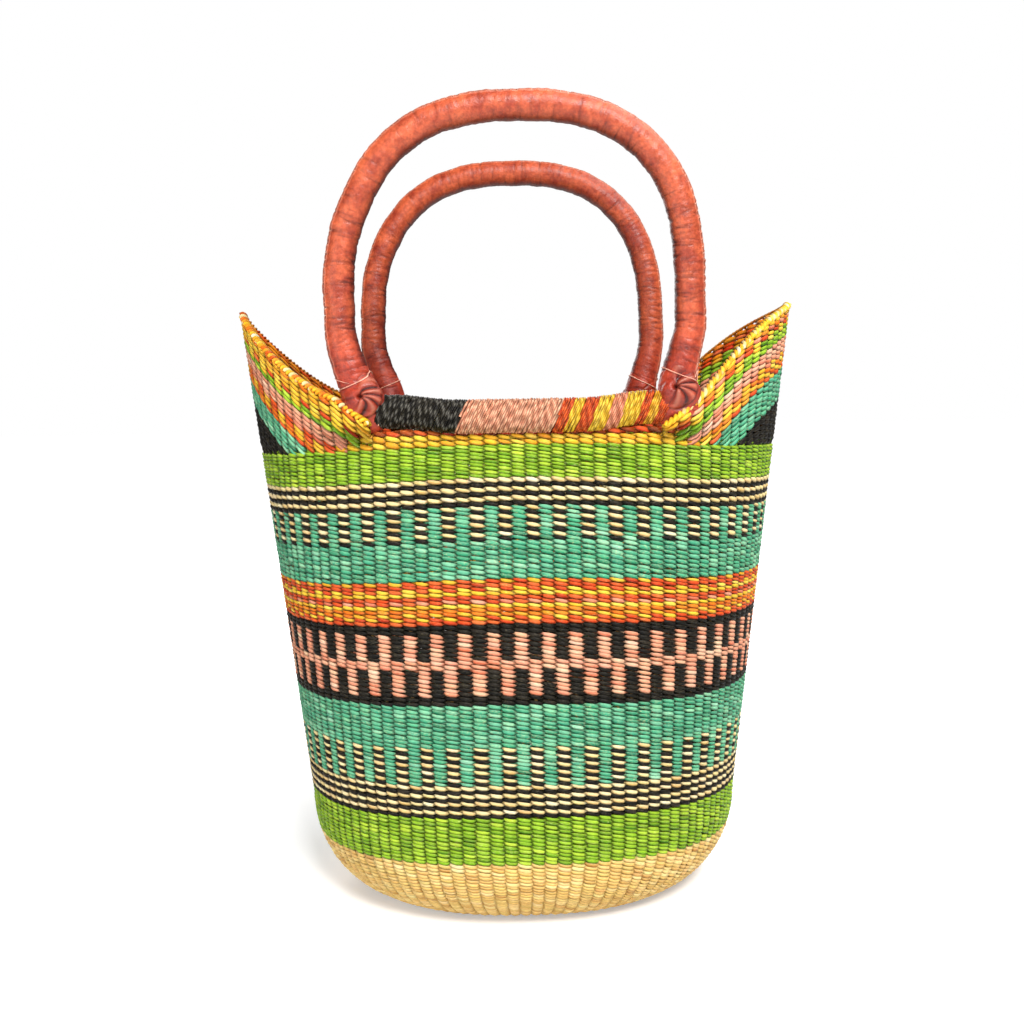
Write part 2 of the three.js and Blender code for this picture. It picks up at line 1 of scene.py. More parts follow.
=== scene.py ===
"""A handwoven straw shopping basket with pointed ears, straw-wound rim rolls and leather handles.

All lengths are in metres. The origin is on the floor under the middle of the base and the front
faces -Y. A place on the wall is given by three numbers: a turn round the basket (0 is the middle of
the front, 1 the right fold, 2 the middle of the back, 3 the left fold), a climb along the wall from
the edge of the flat base, and a depth into the wall from its outer skin.
"""

from __future__ import annotations

import logging
import math
from dataclasses import dataclass, field
from enum import Enum
from typing import Callable, Sequence

import bpy
import numpy as np
from mathutils import Matrix, Vector


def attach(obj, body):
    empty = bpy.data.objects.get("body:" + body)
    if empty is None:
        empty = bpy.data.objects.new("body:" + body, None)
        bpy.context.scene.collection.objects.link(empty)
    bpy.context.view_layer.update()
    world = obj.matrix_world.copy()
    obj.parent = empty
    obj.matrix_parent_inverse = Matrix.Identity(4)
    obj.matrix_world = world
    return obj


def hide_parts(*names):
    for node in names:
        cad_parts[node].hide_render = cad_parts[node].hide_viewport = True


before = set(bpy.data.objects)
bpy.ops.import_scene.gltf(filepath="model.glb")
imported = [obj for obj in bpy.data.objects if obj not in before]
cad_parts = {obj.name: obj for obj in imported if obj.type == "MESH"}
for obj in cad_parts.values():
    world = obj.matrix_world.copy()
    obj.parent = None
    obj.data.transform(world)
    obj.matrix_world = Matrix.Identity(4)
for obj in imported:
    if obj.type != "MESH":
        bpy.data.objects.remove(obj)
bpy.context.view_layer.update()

LOG = logging.getLogger("basket")

# Counts and lengths that several pieces share, and how much dyes and leather vary.
QUARTERS = 4
STAKES = 100
NORMAL_PITCH = 0.00265
STITCH_LENGTH = 0.0065
AXIS_OFFSET = 0.088
AXIS_HEIGHT = 0.337
BUMP_HEIGHT = 0.0003
TONE_SWING = 0.42
HUE_SWING = 0.03
PALE_SWING = (0.3, 1.7)
RIPPLE_PITCHES = (0.6, 1.8)
RIPPLE_TURNS = 4
TOWARDS_FRONT = np.array((0, -1, 0))

Array = np.ndarray
Along = Callable[[Array], Array]
Pair = tuple[float, float]
Socket = bpy.types.NodeSocket


def linear(shade: str) -> Array:
    """Turns a written sRGB colour into the linear values that a shader takes.

    Args:
        shade: The colour as six hexadecimal digits.

    Returns:
        Its red, green and blue in linear light.
    """
    parts = np.array([int(shade[k:k + 2], 16) for k in (0, 2, 4)]) / 255
    return np.where(parts <= 0.04045, parts / 12.92, ((parts + 0.055) / 1.055) ** 2.4)


class Dye(Enum):
    """The straw's colours, each with a darker and a lighter shade and a share of pale fibres."""

    NATURAL = ("e8bd68", "ba8236", "fae09c", 0.30)
    CREAM = ("fadc98", "dcb468", "fff0c4", 0.20)
    LIME = ("84b41c", "4a8208", "c6e440", 0.34)
    TEAL = ("40aa7e", "1e7c58", "9cdcb0", 0.40)
    RED = ("de4716", "b02c0a", "f07838", 0.20)
    ORANGE = ("ee7212", "cc4e08", "faa030", 0.20)
    GOLD = ("f6ae22", "e08618", "ffd048", 0.25)
    YELLOW = ("fac428", "eb9a18", "ffe060", 0.25)
    SALMON = ("ee9a78", "d86a48", "fad0ac", 0.36)
    BLUSH = ("ee8a66", "d45c3c", "fab896", 0.30)
    BLACK = ("100d0a", "060504", "2c261e", 0.08)
    BROWN = ("92380f", "5a1e06", "bc581c", 0.15)

    def shades(self) -> tuple[Array, Array, Array, float]:
        """Gives its own, darker and lighter shade in linear light, and its pale fibres' share."""
        own, dark, light, fleck = self.value
        return linear(own), linear(dark), linear(light), fleck


def smooth(value: Array, low: float, high: float) -> Array:
    """Eases from 0 at the low value to 1 at the high one.

    Args:
        value: The values to ease.
        low: Where the easing starts.
        high: Where it ends.

    Returns:
        The eased values, from 0 to 1.
    """
    share = np.clip((value - low) / (high - low), 0, 1)
    return share * share * (3 - 2 * share)


def mix(start: Array, end: Array, share: Array) -> Array:
    """Goes from one value to another by a share."""
    return start + (end - start) * share


def unit(vectors: Array) -> Array:
    """Brings vectors to a length of one."""
    return vectors / np.maximum(np.linalg.norm(vectors, axis=-1, keepdims=True), 1e-9)


def walk(line: Array) -> Array:
    """Says how far along a line each of its points is."""
    return np.concatenate([[0], np.cumsum(np.linalg.norm(np.diff(line, axis=0), axis=1))])


def read_off(at: Array, places: Array, points: Array) -> Array:
    """Reads a line's points off at places along it."""
    return np.stack([np.interp(at, places, points[:, k]) for k in range(3)], axis=-1)


def bell(first: Array, second: Array | float = 0.0) -> Array:
    """Gives a bell curve of one distance, or of two across each other: 1 in its middle."""
    return np.exp(-(first**2) - second**2)


def apart(angle: Array, other: float) -> Array:
    """Gives the angle from one direction to another, half a turn at most either way."""
    return np.mod(angle - other + math.pi, 2 * math.pi) - math.pi


def spokes(angle: Array, outward: Array) -> Array:
    """Points away from a handle's middle line, from outwards at 0 round to the front."""
    return np.cos(angle)[..., None] * outward + np.sin(angle)[..., None] * TOWARDS_FRONT


def ripple(
    random: np.random.Generator, along: Array, around: Array, length: float,
    waves: int = 9,
) -> Array:
    """Makes a smooth random surface that closes round a tube.

    Args:
        random: The run of random draws.
        along: How far along the tube each point is.
        around: The angle round the tube.
        length: The mean length of the waves along the tube.
        waves: How many waves are summed.

    Returns:
        Values that are mostly between -1 and 1.
    """
    total = np.zeros(np.broadcast(along, around).shape)
    for _ in range(waves):
        pitch = length * random.uniform(*RIPPLE_PITCHES)
        turns = random.integers(0, RIPPLE_TURNS)
        start = random.uniform(0, 2 * math.pi, 2)
        wave = np.sin(along * 2 * math.pi / pitch + start[0])
        total = total + wave * np.cos(turns * around + start[1])
    return total / math.sqrt(waves)


@dataclass(frozen=True)
class WallForm:
    """The shape of the woven wall and of the base that it stands on."""

    rim_height: float = 0.3217
    ear_foot_height: float = 0.344
    ear_tip_height: float = 0.4075
    ear_foot_share: float = 5 / 9
    swells: tuple[float, ...] = (0.009, 0.011, -0.011, -0.007)
    swell_powers: tuple[float, ...] = (1.0, 1.0, 0.85, 0.85)
    foot_drops: tuple[float, ...] = (0.0045, 0.0, 0.0, 0.0)
    drop_fade: Pair = (-0.1, 0.75)
    foot_bulge: float = 0.0150
    bulge_shares: Pair = (0.47, 0.72)
    bulge_heights: Pair = (0.312, 0.332)
    tip_half_width: float = 0.200
    corner_height: float = 0.066
    corner_half_width: float = 0.152
    flat_half_width: float = 0.098
    flat_half_depth: float = 0.058
    belly_height: float = 0.130
    belly_half_depth: float = 0.110
    rim_half_depth: float = 0.0965
    foot_powers: tuple[float, float, float] = (2.35, 1.6, 1.5)
    top_powers: tuple[float, float, float] = (4.0, 1.2, 1.2)

    @property
    def corner_climb(self) -> float:
        """The climb at which the rounded foot of the wall ends."""
        return self.corner_height * math.pi / 2

    def climb_of(self, height: Array) -> Array:
        """Says how far along the wall a height of the outer skin is."""
        down = 1 - np.clip(height, 0, self.corner_height) / self.corner_height
        foot = self.corner_climb * (1 - np.arcsin(down) * 2 / math.pi)
        return foot + np.maximum(height - self.corner_height, 0)

    def share_of(self, turn: Array) -> Array:
        """Says how far a turn is from the middle of the front or back, 0, to the fold, 1."""
        return 1 - np.abs(np.mod(turn, 2) - 1)

    def place(self, turn: Array, climb: Array, depth: Array) -> Array:
        """Finds points of the wall, or of the base where the climb is negative.

        Args:
            turn: Where round the basket.
            climb: How far up along the wall from the edge of the flat base.
            depth: How far into the wall from its outer skin.

        Returns:
            One point for each entry, with its coordinates last.
        """
        turn, climb, depth = np.broadcast_arrays(turn, climb, depth)
        wall = self.corner_height + np.maximum(climb - self.corner_climb, 0)
        rise = (wall - self.corner_height) / (self.ear_tip_height - self.corner_height)
        half_width = mix(self.corner_half_width, self.tip_half_width, rise)
        fall = (wall - self.belly_height) / (self.rim_height - self.belly_height)
        half_depth = self.belly_half_depth - (self.belly_half_depth - self.rim_half_depth) * fall**2
        pinch = np.clip((wall - self.corner_height) / (self.rim_height - self.corner_height), 0, 1)
        power = [mix(low, high, pinch) for low, high in zip(self.foot_powers, self.top_powers)]
        share = self.share_of(turn)
        width = 1 - (1 - share) ** power[2]
        reach = np.maximum(0, 1 - width ** power[0]) ** (1 / power[1])
        angle = np.clip(climb / self.corner_climb, 0, 1) * math.pi / 2
        out = np.sin(angle)
        half_width = self.flat_half_width + (half_width - self.flat_half_width - depth) * out
        half_depth = self.flat_half_depth + (half_depth - self.flat_half_depth - depth) * out
        quarter = np.mod(turn, QUARTERS)
        right = np.where(quarter <= 2, 1.0, -1.0)
        front = np.where((quarter <= 1) | (quarter >= 3), -1.0, 1.0)
        x = right * half_width * width
        y = front * half_depth * reach
        z = wall - (self.corner_height - depth) * np.cos(angle)
        spread = np.hypot(x, y)
        inwards = np.clip(1 + np.minimum(climb, 0) / np.maximum(spread, 1e-6), 0, 1)
        return np.stack([x * inwards, y * inwards, z], axis=-1)

    def flat_length(self, turn: Array) -> Array:
        """Says how far the edge of the flat base is from its middle."""
        edge = self.place(turn, np.zeros_like(turn), 0.0)
        return np.hypot(edge[..., 0], edge[..., 1])

    def stand_out(self, turn: Array, height: Array) -> Array:
        """Says how far the weave stands out where it passes in front of a handle's foot."""
        near = 1 - smooth(self.share_of(turn), *self.bulge_shares)
        return self.foot_bulge * near * smooth(height, *self.bulge_heights)

    def ridge(self, turn: Array) -> Array:
        """Gives the height of an ear's ridge, also where it runs on in front of a handle's foot.

        Args:
            turn: Where round the basket.

        Returns:
            The height of the ridge above the floor.
        """
        along = (self.share_of(turn) - self.ear_foot_share) / (1 - self.ear_foot_share)
        quarter = np.floor(np.mod(turn, QUARTERS)).astype(int)
        swell, power = np.array(self.swells)[quarter], np.array(self.swell_powers)[quarter]
        bulge = swell * np.sin(math.pi * np.clip(along, 0, 1) ** power)
        drop = np.array(self.foot_drops)[quarter]
        bulge = bulge - drop * (1 - smooth(along, *self.drop_fade))
        return mix(self.ear_foot_height, self.ear_tip_height, along) + bulge


@dataclass(frozen=True)
class Course:
    """One row of two-strand twining.

    The two strands take turns in front, so a row with two dyes changes colour at each stake.
    """

    first: Dye
    second: Dye
    swapped: bool = False


def plain(dye: Dye, count: int) -> list[Course]:
    """Makes rows of one dye."""
    return [Course(dye, dye)] * count


def by_turns(first: Dye, second: Dye, count: int) -> list[Course]:
    """Makes rows of one dye and rows of another by turns, from the bottom up."""
    return [Course(dye, dye) for _ in range(count) for dye in (first, second)]


def columns(dye: Dye, others: Sequence[Dye], swapped: bool = False) -> list[Course]:
    """Makes rows whose columns are one dye and another by turns.

    Args:
        dye: The dye of the columns that are the same in all rows.
        others: The dye of the columns between them, row by row from the bottom up.
        swapped: Whether the columns change places.

    Returns:
        The rows.
    """
    return [Course(dye, other, swapped) for other in others]


@dataclass(frozen=True)
class Band:
    """A woven band: its node, its top edge and its rows from the bottom up."""

    node: str
    front_share: float
    fold_share: float
    slot: str
    rows: Sequence[Course]

    def top(self, form: WallForm, turn: Array) -> Array:
        """Gives the height of the band's top at a turn."""
        middle = np.cos(form.share_of(turn) * math.pi / 2) ** 2
        return form.rim_height * mix(self.fold_share, self.front_share, middle)


BANDS = (
    Band("natural_band", 0.155, 0.130, "natural_straw", plain(Dye.NATURAL, 20)),
    Band("lower_green_band", 0.250, 0.2235, "green_straw", plain(Dye.LIME, 12)),
    Band(
        "lower_ticking_band", 0.314, 0.290, "cream_black_straw",
        by_turns(Dye.BLACK, Dye.CREAM, 4),
    ),
    Band(
        "lower_lattice_band", 0.389, 0.368, "lattice_straw",
        columns(Dye.TEAL, (Dye.BLACK, Dye.CREAM) * 5),
    ),
    Band("lower_teal_band", 0.472, 0.454, "teal_straw", plain(Dye.TEAL, 10)),
    Band(
        "black_pink_band", 0.629, 0.611, "pink_straw",
        plain(Dye.BLACK, 2) + columns(Dye.SALMON, (Dye.BLACK,) * 6, swapped=True)
        + plain(Dye.SALMON, 2) + columns(Dye.SALMON, (Dye.BLACK,) * 6) + plain(Dye.BLACK, 2),
    ),
    Band(
        "orange_band", 0.717, 0.692, "orange_straw",
        plain(Dye.RED, 1) + [Course(Dye.RED, Dye.YELLOW), Course(Dye.ORANGE, Dye.GOLD, True)]
        + plain(Dye.ORANGE, 1) + plain(Dye.YELLOW, 1) + [Course(Dye.RED, Dye.BLUSH)]
        + plain(Dye.RED, 1) + plain(Dye.YELLOW, 1) + [Course(Dye.RED, Dye.YELLOW, True)]
        + plain(Dye.RED, 1) + [Course(Dye.RED, Dye.GOLD)],
    ),
    Band("upper_teal_band", 0.791, 0.767, "teal_straw", plain(Dye.TEAL, 8)),
    Band(
        "upper_lattice_band", 0.859, 0.835, "lattice_straw",
        columns(Dye.TEAL, (Dye.BLACK, Dye.CREAM) * 4),
    ),
    Band(
        "upper_ticking_band", 0.914, 0.891, "cream_black_straw",
        by_turns(Dye.BLACK, Dye.CREAM, 3),
    ),
    Band("upper_green_band", 0.979, 0.961, "green_straw", plain(Dye.LIME, 9)),
)


@dataclass
class Stitch:
    """One pass of a strand from gap to gap, modelled once and laid round the whole basket.

    Its sections stand at the places, in columns from its middle. Painted shade darkens its ends
    and lower corners, and painted light brightens its upper outer corners.
    """

    sides: int = 6
    places: tuple[float, ...] = (-0.5, -0.34, 0.0, 0.34)
    swells: tuple[float, ...] = (0.0, 0.80, 1.0, 0.80)
    drops: tuple[float, ...] = (1.0, 0.55, 0.0, -0.55)
    heights: tuple[float, ...] = (0.00080, 0.00124, 0.00150, 0.00124)
    thicknesses: tuple[float, ...] = (0.00062, 0.00082, 0.00100, 0.00082)
    # Painted light and shade: the ends and the bottom corner are darkened, the upper outer corners
    # brightened and given a painted highlight, the gleam.
    gap_shades: tuple[float, ...] = (0.42, 0.92, 1.0, 0.92)
    low_shade: float = 0.28
    high_shade: float = 0.88
    upper_shade: float = 1.06
    lower_shade: float = 0.88
    rim_start: float = 0.6
    gleam: float = 0.42
    gleam_start: float = 0.3
    natural_fill: float = 1.7
    swing: float = 0.00132
    slant: float = 0.00088

    def model(self) -> tuple[Array, Array, Array]:
        """Shapes one stitch and reads its sections.

        Returns:
            The height and thickness of each section's corners, their painted shade, and how much
            painted highlight each takes.
        """
        bpy.ops.object.select_all(action="DESELECT")
        bpy.ops.mesh.primitive_cylinder_add(
            vertices=self.sides, radius=1, depth=1, end_fill_type="NOTHING", location=(0, 0, 0),
        )
        tube = bpy.context.object
        bpy.ops.object.mode_set(mode="EDIT")
        for level in self.places[1:]:
            bpy.ops.mesh.select_all(action="SELECT")
            bpy.ops.mesh.bisect(plane_co=(0, 0, level), plane_no=(0, 0, 1))
        bpy.ops.object.mode_set(mode="OBJECT")
        corners = np.array([vertex.co for vertex in tube.data.vertices])
        bpy.data.objects.remove(tube)
        sections, shades, lit = [], [], []
        for level, height, thickness, gap in zip(
            self.places, self.heights, self.thicknesses, self.gap_shades,
        ):
            ring = corners[np.abs(corners[:, 2] - level) < 1e-4]
            ring = ring[np.argsort(np.arctan2(ring[:, 1], ring[:, 0]))]
            sections.append(ring[:, :2] * (height, thickness))
            up, out = ring[:, 0], ring[:, 1]
            face = np.where(up > 0, self.upper_shade, self.lower_shade)
            face = np.where(up > self.rim_start, self.high_shade, face)
            shades.append(gap * np.where(up < -self.rim_start, self.low_shade, face))
            lit.append(self.gleam * gap**3 * ((up > self.gleam_start) & (out > self.gleam_start)))
        return np.array(sections), np.array(shades), np.array(lit)


@dataclass
class Loom:
    """The stakes that the rows are twined round, spaced evenly round the wall."""

    form: WallForm = field(default_factory=WallForm)
    stitch: Stitch = field(default_factory=Stitch)
    middle_depth: float = 0.0022
    reference_climb: float = 0.230
    samples: int = 4001
    stake_stray: float = 0.05
    seed: int = 17

    def __post_init__(self) -> None:
        """Spaces the stakes and shapes the stitch."""
        self.fine = np.linspace(0, QUARTERS, self.samples)
        ring = self.form.place(self.fine, np.full_like(self.fine, self.reference_climb), 0.0)
        walked = walk(ring)
        self.walked = walked / walked[-1] * STAKES
        self.sections, self.shades, self.lit = self.stitch.model()
        self.strays = np.random.default_rng(self.seed).normal(0.0, self.stake_stray, STAKES)

    def stray_at(self, stake: Array, stakes: int = STAKES) -> Array:
        """Says how far a stake stands from its even place.

        Args:
            stake: The place, counted in stakes.
            stakes: How many stakes the row crosses: with fewer than all, none stands astray.

        Returns:
            The distance, in stakes.
        """
        if stakes != STAKES:
            return np.zeros_like(stake)
        strays = np.append(self.strays, self.strays[0])
        return np.interp(np.mod(stake, STAKES), np.arange(STAKES + 1), strays)

    def turn_at(self, stake: Array) -> Array:
        """Finds the turn of a place counted in stakes from the middle of the front."""
        laps = np.floor(stake / STAKES)
        return np.interp(stake - laps * STAKES, self.walked, self.fine) + laps * QUARTERS


@dataclass
class Lay:
    """The points, faces and marks of strands that are being laid."""

    points: list[Array] = field(default_factory=list)
    faces: list[Array] = field(default_factory=list)
    marks: list[Array] = field(default_factory=list)
    fibres: list[Array] = field(default_factory=list)
    maps: list[Array] = field(default_factory=list)
    count: int = 0
    strands: int = 0
    strips: int = 0
    strip_fill: float = 0.9
    cap_inset: float = 0.05
    fibre_twist: float = 1.3
    fibre_stretch: float = 0.5
    strand_gap: float = 7.31

    def add_strand(
        self, points: Array, marks: Array, along: Array, closed: bool, width: float,
        strip: int | None = None,
    ) -> None:
        """Adds one strand.

        Args:
            points: Its sections, each a ring of corners.
            marks: The four values that each corner, or each section, carries.
            along: How far along the strand each section is, in stitches.
            closed: Whether its end meets its start.
            width: How much of the bake map's height one strip takes.
            strip: How many sections lie side by side on one strip of the map, if not all.
        """
        rings, sides = points.shape[:2]
        index = self.count + np.arange(rings * sides).reshape(rings, sides)
        start = index if closed else index[:-1]
        end = np.roll(index, -1, axis=0) if closed else index[1:]
        quads = np.stack([
            start, end, np.roll(end, -1, axis=1), np.roll(start, -1, axis=1),
        ], axis=-1).reshape(-1, 4)
        corner = (points - points.mean(axis=(0, 1))).reshape(-1, 3)[quads - self.count]
        volume = sum(
            np.sum(corner[:, 0] * np.cross(corner[:, k], corner[:, k + 1])) for k in (1, 2)
        )
        inside_out = volume < 0
        self.faces.append(quads[:, ::-1] if inside_out else quads)
        long = strip or start.shape[0]
        step = np.arange(start.shape[0])[:, None]
        u = (step % long) / long + np.zeros((1, sides))
        v = np.arange(sides)[None, :] / sides * self.strip_fill + step // long
        du, dv = 1 / long, self.strip_fill / sides
        chart = np.stack([
            np.stack(pair, axis=-1) for pair in ((u, v), (u + du, v), (u + du, v + dv), (u, v + dv))
        ], axis=-2)
        chart[..., 1] = (chart[..., 1] + self.strips) * width
        chart = chart.reshape(-1, 4, 2)
        self.maps.append((chart[:, ::-1] if inside_out else chart).reshape(-1, 2))
        self.strips += int(step[-1, 0] // long) + 1
        if not closed:
            self.faces.append(index[:1] if inside_out else index[:1, ::-1])
            self.faces.append(index[-1:, ::-1] if inside_out else index[-1:])
            self.maps.append(np.full((2 * sides, 2), (self.strips - self.cap_inset) * width))
        angle = np.arange(sides) / sides * 2 * math.pi
        twist = angle[None, :] + along[:, None] * self.fibre_twist
        length = np.broadcast_to(along[:, None] * self.fibre_stretch, twist.shape)
        fibre = np.stack([
            length + self.strands * self.strand_gap, np.cos(twist), np.sin(twist),
        ], axis=-1)
        marks = marks if marks.ndim == 3 else np.repeat(marks[:, None], sides, axis=1)
        self.points.append(points.reshape(-1, 3))
        self.marks.append(marks.reshape(-1, 4))
        self.fibres.append(fibre.reshape(-1, 3))
        self.count += rings * sides
        self.strands += 1

    def mesh(self, name: str, mark: str = "dye") -> bpy.types.Object:
        """Makes an object of the strands, with their marks, fibres and bake map.

        Args:
            name: The object's name.
            mark: The name of the attribute that holds the marks.

        Returns:
            The object, linked to the scene.
        """
        points = np.concatenate(self.points)
        sizes = np.concatenate([np.full(len(part), part.shape[1]) for part in self.faces])
        corners = np.concatenate([part.reshape(-1) for part in self.faces])
        mesh = bpy.data.meshes.new(name)
        mesh.vertices.add(len(points))
        mesh.vertices.foreach_set("co", points.astype(np.float32).reshape(-1))
        mesh.loops.add(len(corners))
        mesh.loops.foreach_set("vertex_index", corners.astype(np.int32))
        mesh.polygons.add(len(sizes))
        starts = np.concatenate([[0], np.cumsum(sizes)[:-1]])
        mesh.polygons.foreach_set("loop_start", starts.astype(np.int32))
        mesh.polygons.foreach_set("use_smooth", np.ones(len(sizes), dtype=bool))
        mesh.update(calc_edges=True)
        marks = mesh.color_attributes.new(mark, "FLOAT_COLOR", "POINT")
        marks.data.foreach_set("color", np.concatenate(self.marks).astype(np.float32).reshape(-1))
        fibre = mesh.attributes.new("fibre", "FLOAT_VECTOR", "POINT")
        fibre.data.foreach_set("vector", np.concatenate(self.fibres).astype(np.float32).reshape(-1))
        chart = mesh.uv_layers.new(name="OFBake")
        chart.data.foreach_set("uv", np.concatenate(self.maps).astype(np.float32).reshape(-1))
        mesh.validate()
        piece = bpy.data.objects.new(name, mesh)
        bpy.context.scene.collection.objects.link(piece)
        return piece


def form_side(turn: Array) -> Array:
    """Says whether a turn is at the front, -1, or at the back, 1."""
    return np.where(np.abs(np.mod(turn, QUARTERS) - 2) < 1, 1.0, -1.0)


def tube_rings(
    line: Array, radius: Array | float, sides: int, flat: float = 1.0,
    up: Sequence[float] = (0, 1, 0),
) -> Array:
    """Puts rings of corners round a line.

    Args:
        line: The line's points.
        radius: The tube's radius at each point, or one for all.
        sides: How many corners each ring has.
        flat: How thin the tube is against its width.
        up: A direction that the rings keep near their thin side.

    Returns:
        The rings.
    """
    tangent = unit(np.gradient(line, axis=0))
    first = unit(np.cross(tangent, np.broadcast_to(np.array(up, dtype=float), tangent.shape)))
    second = np.cross(first, tangent)
    angle = np.arange(sides) / sides * 2 * math.pi
    radius = np.broadcast_to(radius, (len(line),))[:, None, None]
    across = np.cos(angle)[None, :, None] * first[:, None]
    over = np.sin(angle)[None, :, None] * second[:, None] * flat
    return line[:, None] + (across + over) * radius


def tones(random: np.random.Generator, dye: Dye, count: int) -> Array:
    """Varies a dye from stitch to stitch.

    Args:
        random: The run of random draws.
        dye: The dye.
        count: How many stitches.

    Returns:
        A colour and a share of pale fibres for each stitch.
    """
    own, dark, light, fleck = dye.shades()
    swing = random.normal(0.0, TONE_SWING, (count, 1)).clip(-1, 1)
    colour = np.where(swing > 0, mix(own, light, np.abs(swing)), mix(own, dark, np.abs(swing)))
    hue = random.normal(0.0, HUE_SWING, (count, 3))
    pale = np.full((count, 1), fleck) * random.uniform(*PALE_SWING, (count, 1))
    return np.concatenate([(colour * (1 + hue)).clip(0, 1), pale.clip(0, 1)], axis=1)


@dataclass
class Weaver:
    """Lays rows on the wall."""

    loom: Loom
    seed: int
    wave: float = 0.00010
    waves: tuple[int, ...] = (4, 9, 17)
    crossing_stray: float = 0.035
    plump_swing: float = 0.09
    plump_limits: Pair = (0.8, 1.2)
    row_stray: float = 0.00015
    end_tuck: float = 0.0006
    # Natural straw keeps less of the painted shade: the shade is raised to this power.
    natural_contrast: float = 0.42

    def __post_init__(self) -> None:
        """Starts the run of random draws."""
        self.random = np.random.default_rng(self.seed)

    def weave(
        self, lay: Lay, course: Course, climb: Along, pitch: Along, span: tuple[int, int] | None,
        width: float, stakes: int = STAKES, push: Along | None = None, tint: Along | None = None,
        inset: float = 0.0,
    ) -> None:
        """Weaves the two strands of a row.

        Args:
            lay: Where the strands go.
            course: The row's dyes.
            climb: The row's climb at a turn.
            pitch: The distance to the next row at a turn.
            span: The first and last stake of an open row, or None for a full ring.
            width: How much of the bake map's height each strand takes.
            stakes: How many stakes the row crosses in a full ring.
            push: How far the row stands out from the wall at a turn, if it does.
            tint: What its colours are multiplied by at a turn, if they are.
            inset: How much further in than the other rows it lies.
        """
        loom, stitch = self.loom, self.loom.stitch
        first, last = span if span else (0, stakes - 1)
        count, steps = last - first + 1, len(stitch.places)
        ticks = np.arange(count * steps + (1 if span else 0))
        column, part = ticks // steps, ticks % steps
        place = first + column + np.array(stitch.places)[part]
        crossing = self.random.normal(0.0, self.crossing_stray, count + 1)[column] * (part == 0)
        turn = loom.turn_at((place + crossing) * STAKES / stakes + loom.stray_at(place, stakes))
        spacing = (pitch(turn) / NORMAL_PITCH)[:, None]
        lap = place / stakes * 2 * math.pi
        stray = sum(
            self.wave * np.sin(lap * turns + self.random.uniform(0, 2 * math.pi))
            for turns in self.waves
        )
        away = (push(turn) * form_side(turn))[:, None] if push else 0.0
        for strand, dye in enumerate((course.first, course.second)):
            flip = (strand + int(course.swapped)) % 2
            front = np.where((first + column + flip) % 2 == 0, 1.0, -1.0)
            swing = front * np.array(stitch.swells)[part]
            drop = front * np.array(stitch.drops)[part]
            owner = np.minimum(column, count - 1)
            plump = self.random.normal(1.0, self.plump_swing, count)
            plump = plump.clip(*self.plump_limits)[owner]
            shift = self.random.normal(0.0, self.row_stray, count)[owner]
            colour = tones(self.random, dye, count)[owner]
            fill = np.where((part == 0) & (dye is Dye.NATURAL), stitch.natural_fill, 1.0)
            section = loom.sections[part] * (plump * fill)[:, None, None]
            rise = section[..., 0] + (drop * stitch.slant + shift + stray)[:, None]
            out = section[..., 1] + swing[:, None] * stitch.swing - inset
            if span:
                edge = np.minimum(ticks, ticks[::-1]) / steps
                out = out - self.end_tuck * (1 - np.clip(edge, 0, 1))[:, None]
            points = loom.form.place(
                turn[:, None], climb(turn)[:, None] + rise * spacing, loom.middle_depth - out,
            )
            points[..., 1] += away
            marks = np.repeat(colour[:, None], stitch.sides, axis=1)
            # Painted highlight on the upper outer corners, then painted shade at the ends and lower
            # corners, less on natural straw.
            marks[..., :3] = mix(marks[..., :3], dye.shades()[2], loom.lit[part][..., None])
            contrast = self.natural_contrast if dye is Dye.NATURAL else 1.0
            marks[..., :3] *= loom.shades[part][..., None] ** contrast
            if tint:
                marks[..., :3] *= tint(turn)[:, None]
            lay.add_strand(points, marks, place, span is None, width)


class NodeSheet:
    """Adds and joins the nodes of a material or a group in few words."""

    def __init__(self, tree: bpy.types.NodeTree) -> None:
        """Keeps the tree."""
        self.tree = tree

    def add(self, kind: str, **values: object) -> bpy.types.Node:
        """Adds a node and sets its properties and inputs.

        Args:
            kind: The node's type, without the leading ShaderNode.
            values: Properties by name, and inputs by their name with spaces as underscores.

        Returns:
            The node.
        """
        node = self.tree.nodes.new("ShaderNode" + kind)
        for name, value in values.items():
            if hasattr(node, name):
                setattr(node, name, value)
                continue
            key = int(name[1:]) if name[1:].isdigit() else name.replace("_", " ")
            if isinstance(value, Socket):
                self.tree.links.new(value, node.inputs[key])
            else:
                node.inputs[key].default_value = value
        return node

    def join(self, source: Socket, target: Socket) -> None:
        """Links an output to an input."""
        self.tree.links.new(source, target)

    def level(self, value: Socket, low: float, high: float, start: float, end: float) -> Socket:
        """Maps the range from low to high to the one from start to end."""
        node = self.add(
            "MapRange", Value=value, From_Min=low, From_Max=high, To_Min=start, To_Max=end,
        )
        return node.outputs["Result"]

    def times(self, first: Socket, second: Socket) -> Socket:
        """Multiplies two values."""
        return self.add("Math", operation="MULTIPLY", _0=first, _1=second).outputs[0]

    def scaled(self, colour: Socket, share: Socket) -> Socket:
        """Makes a colour lighter or darker by a share."""
        return self.add("VectorMath", operation="SCALE", _0=colour, Scale=share).outputs["Vector"]

    def blend(self, share: object, first: object, second: object, kind: str = "MIX") -> Socket:
        """Mixes two colours by a share.

        Args:
            share: How much of the second colour is taken, as an output or a number.
            first: The first colour, as an output or a value.
            second: The second colour, as an output or a value.
            kind: The way in which they are mixed.

        Returns:
            The mixed colour's output.
        """
        node = self.add("Mix", data_type="RGBA", blend_type=kind)
        for key, value in ((0, share), (6, first), (7, second)):
            if isinstance(value, Socket):
                self.join(value, node.inputs[key])
            else:
                node.inputs[key].default_value = value
        return node.outputs[2]


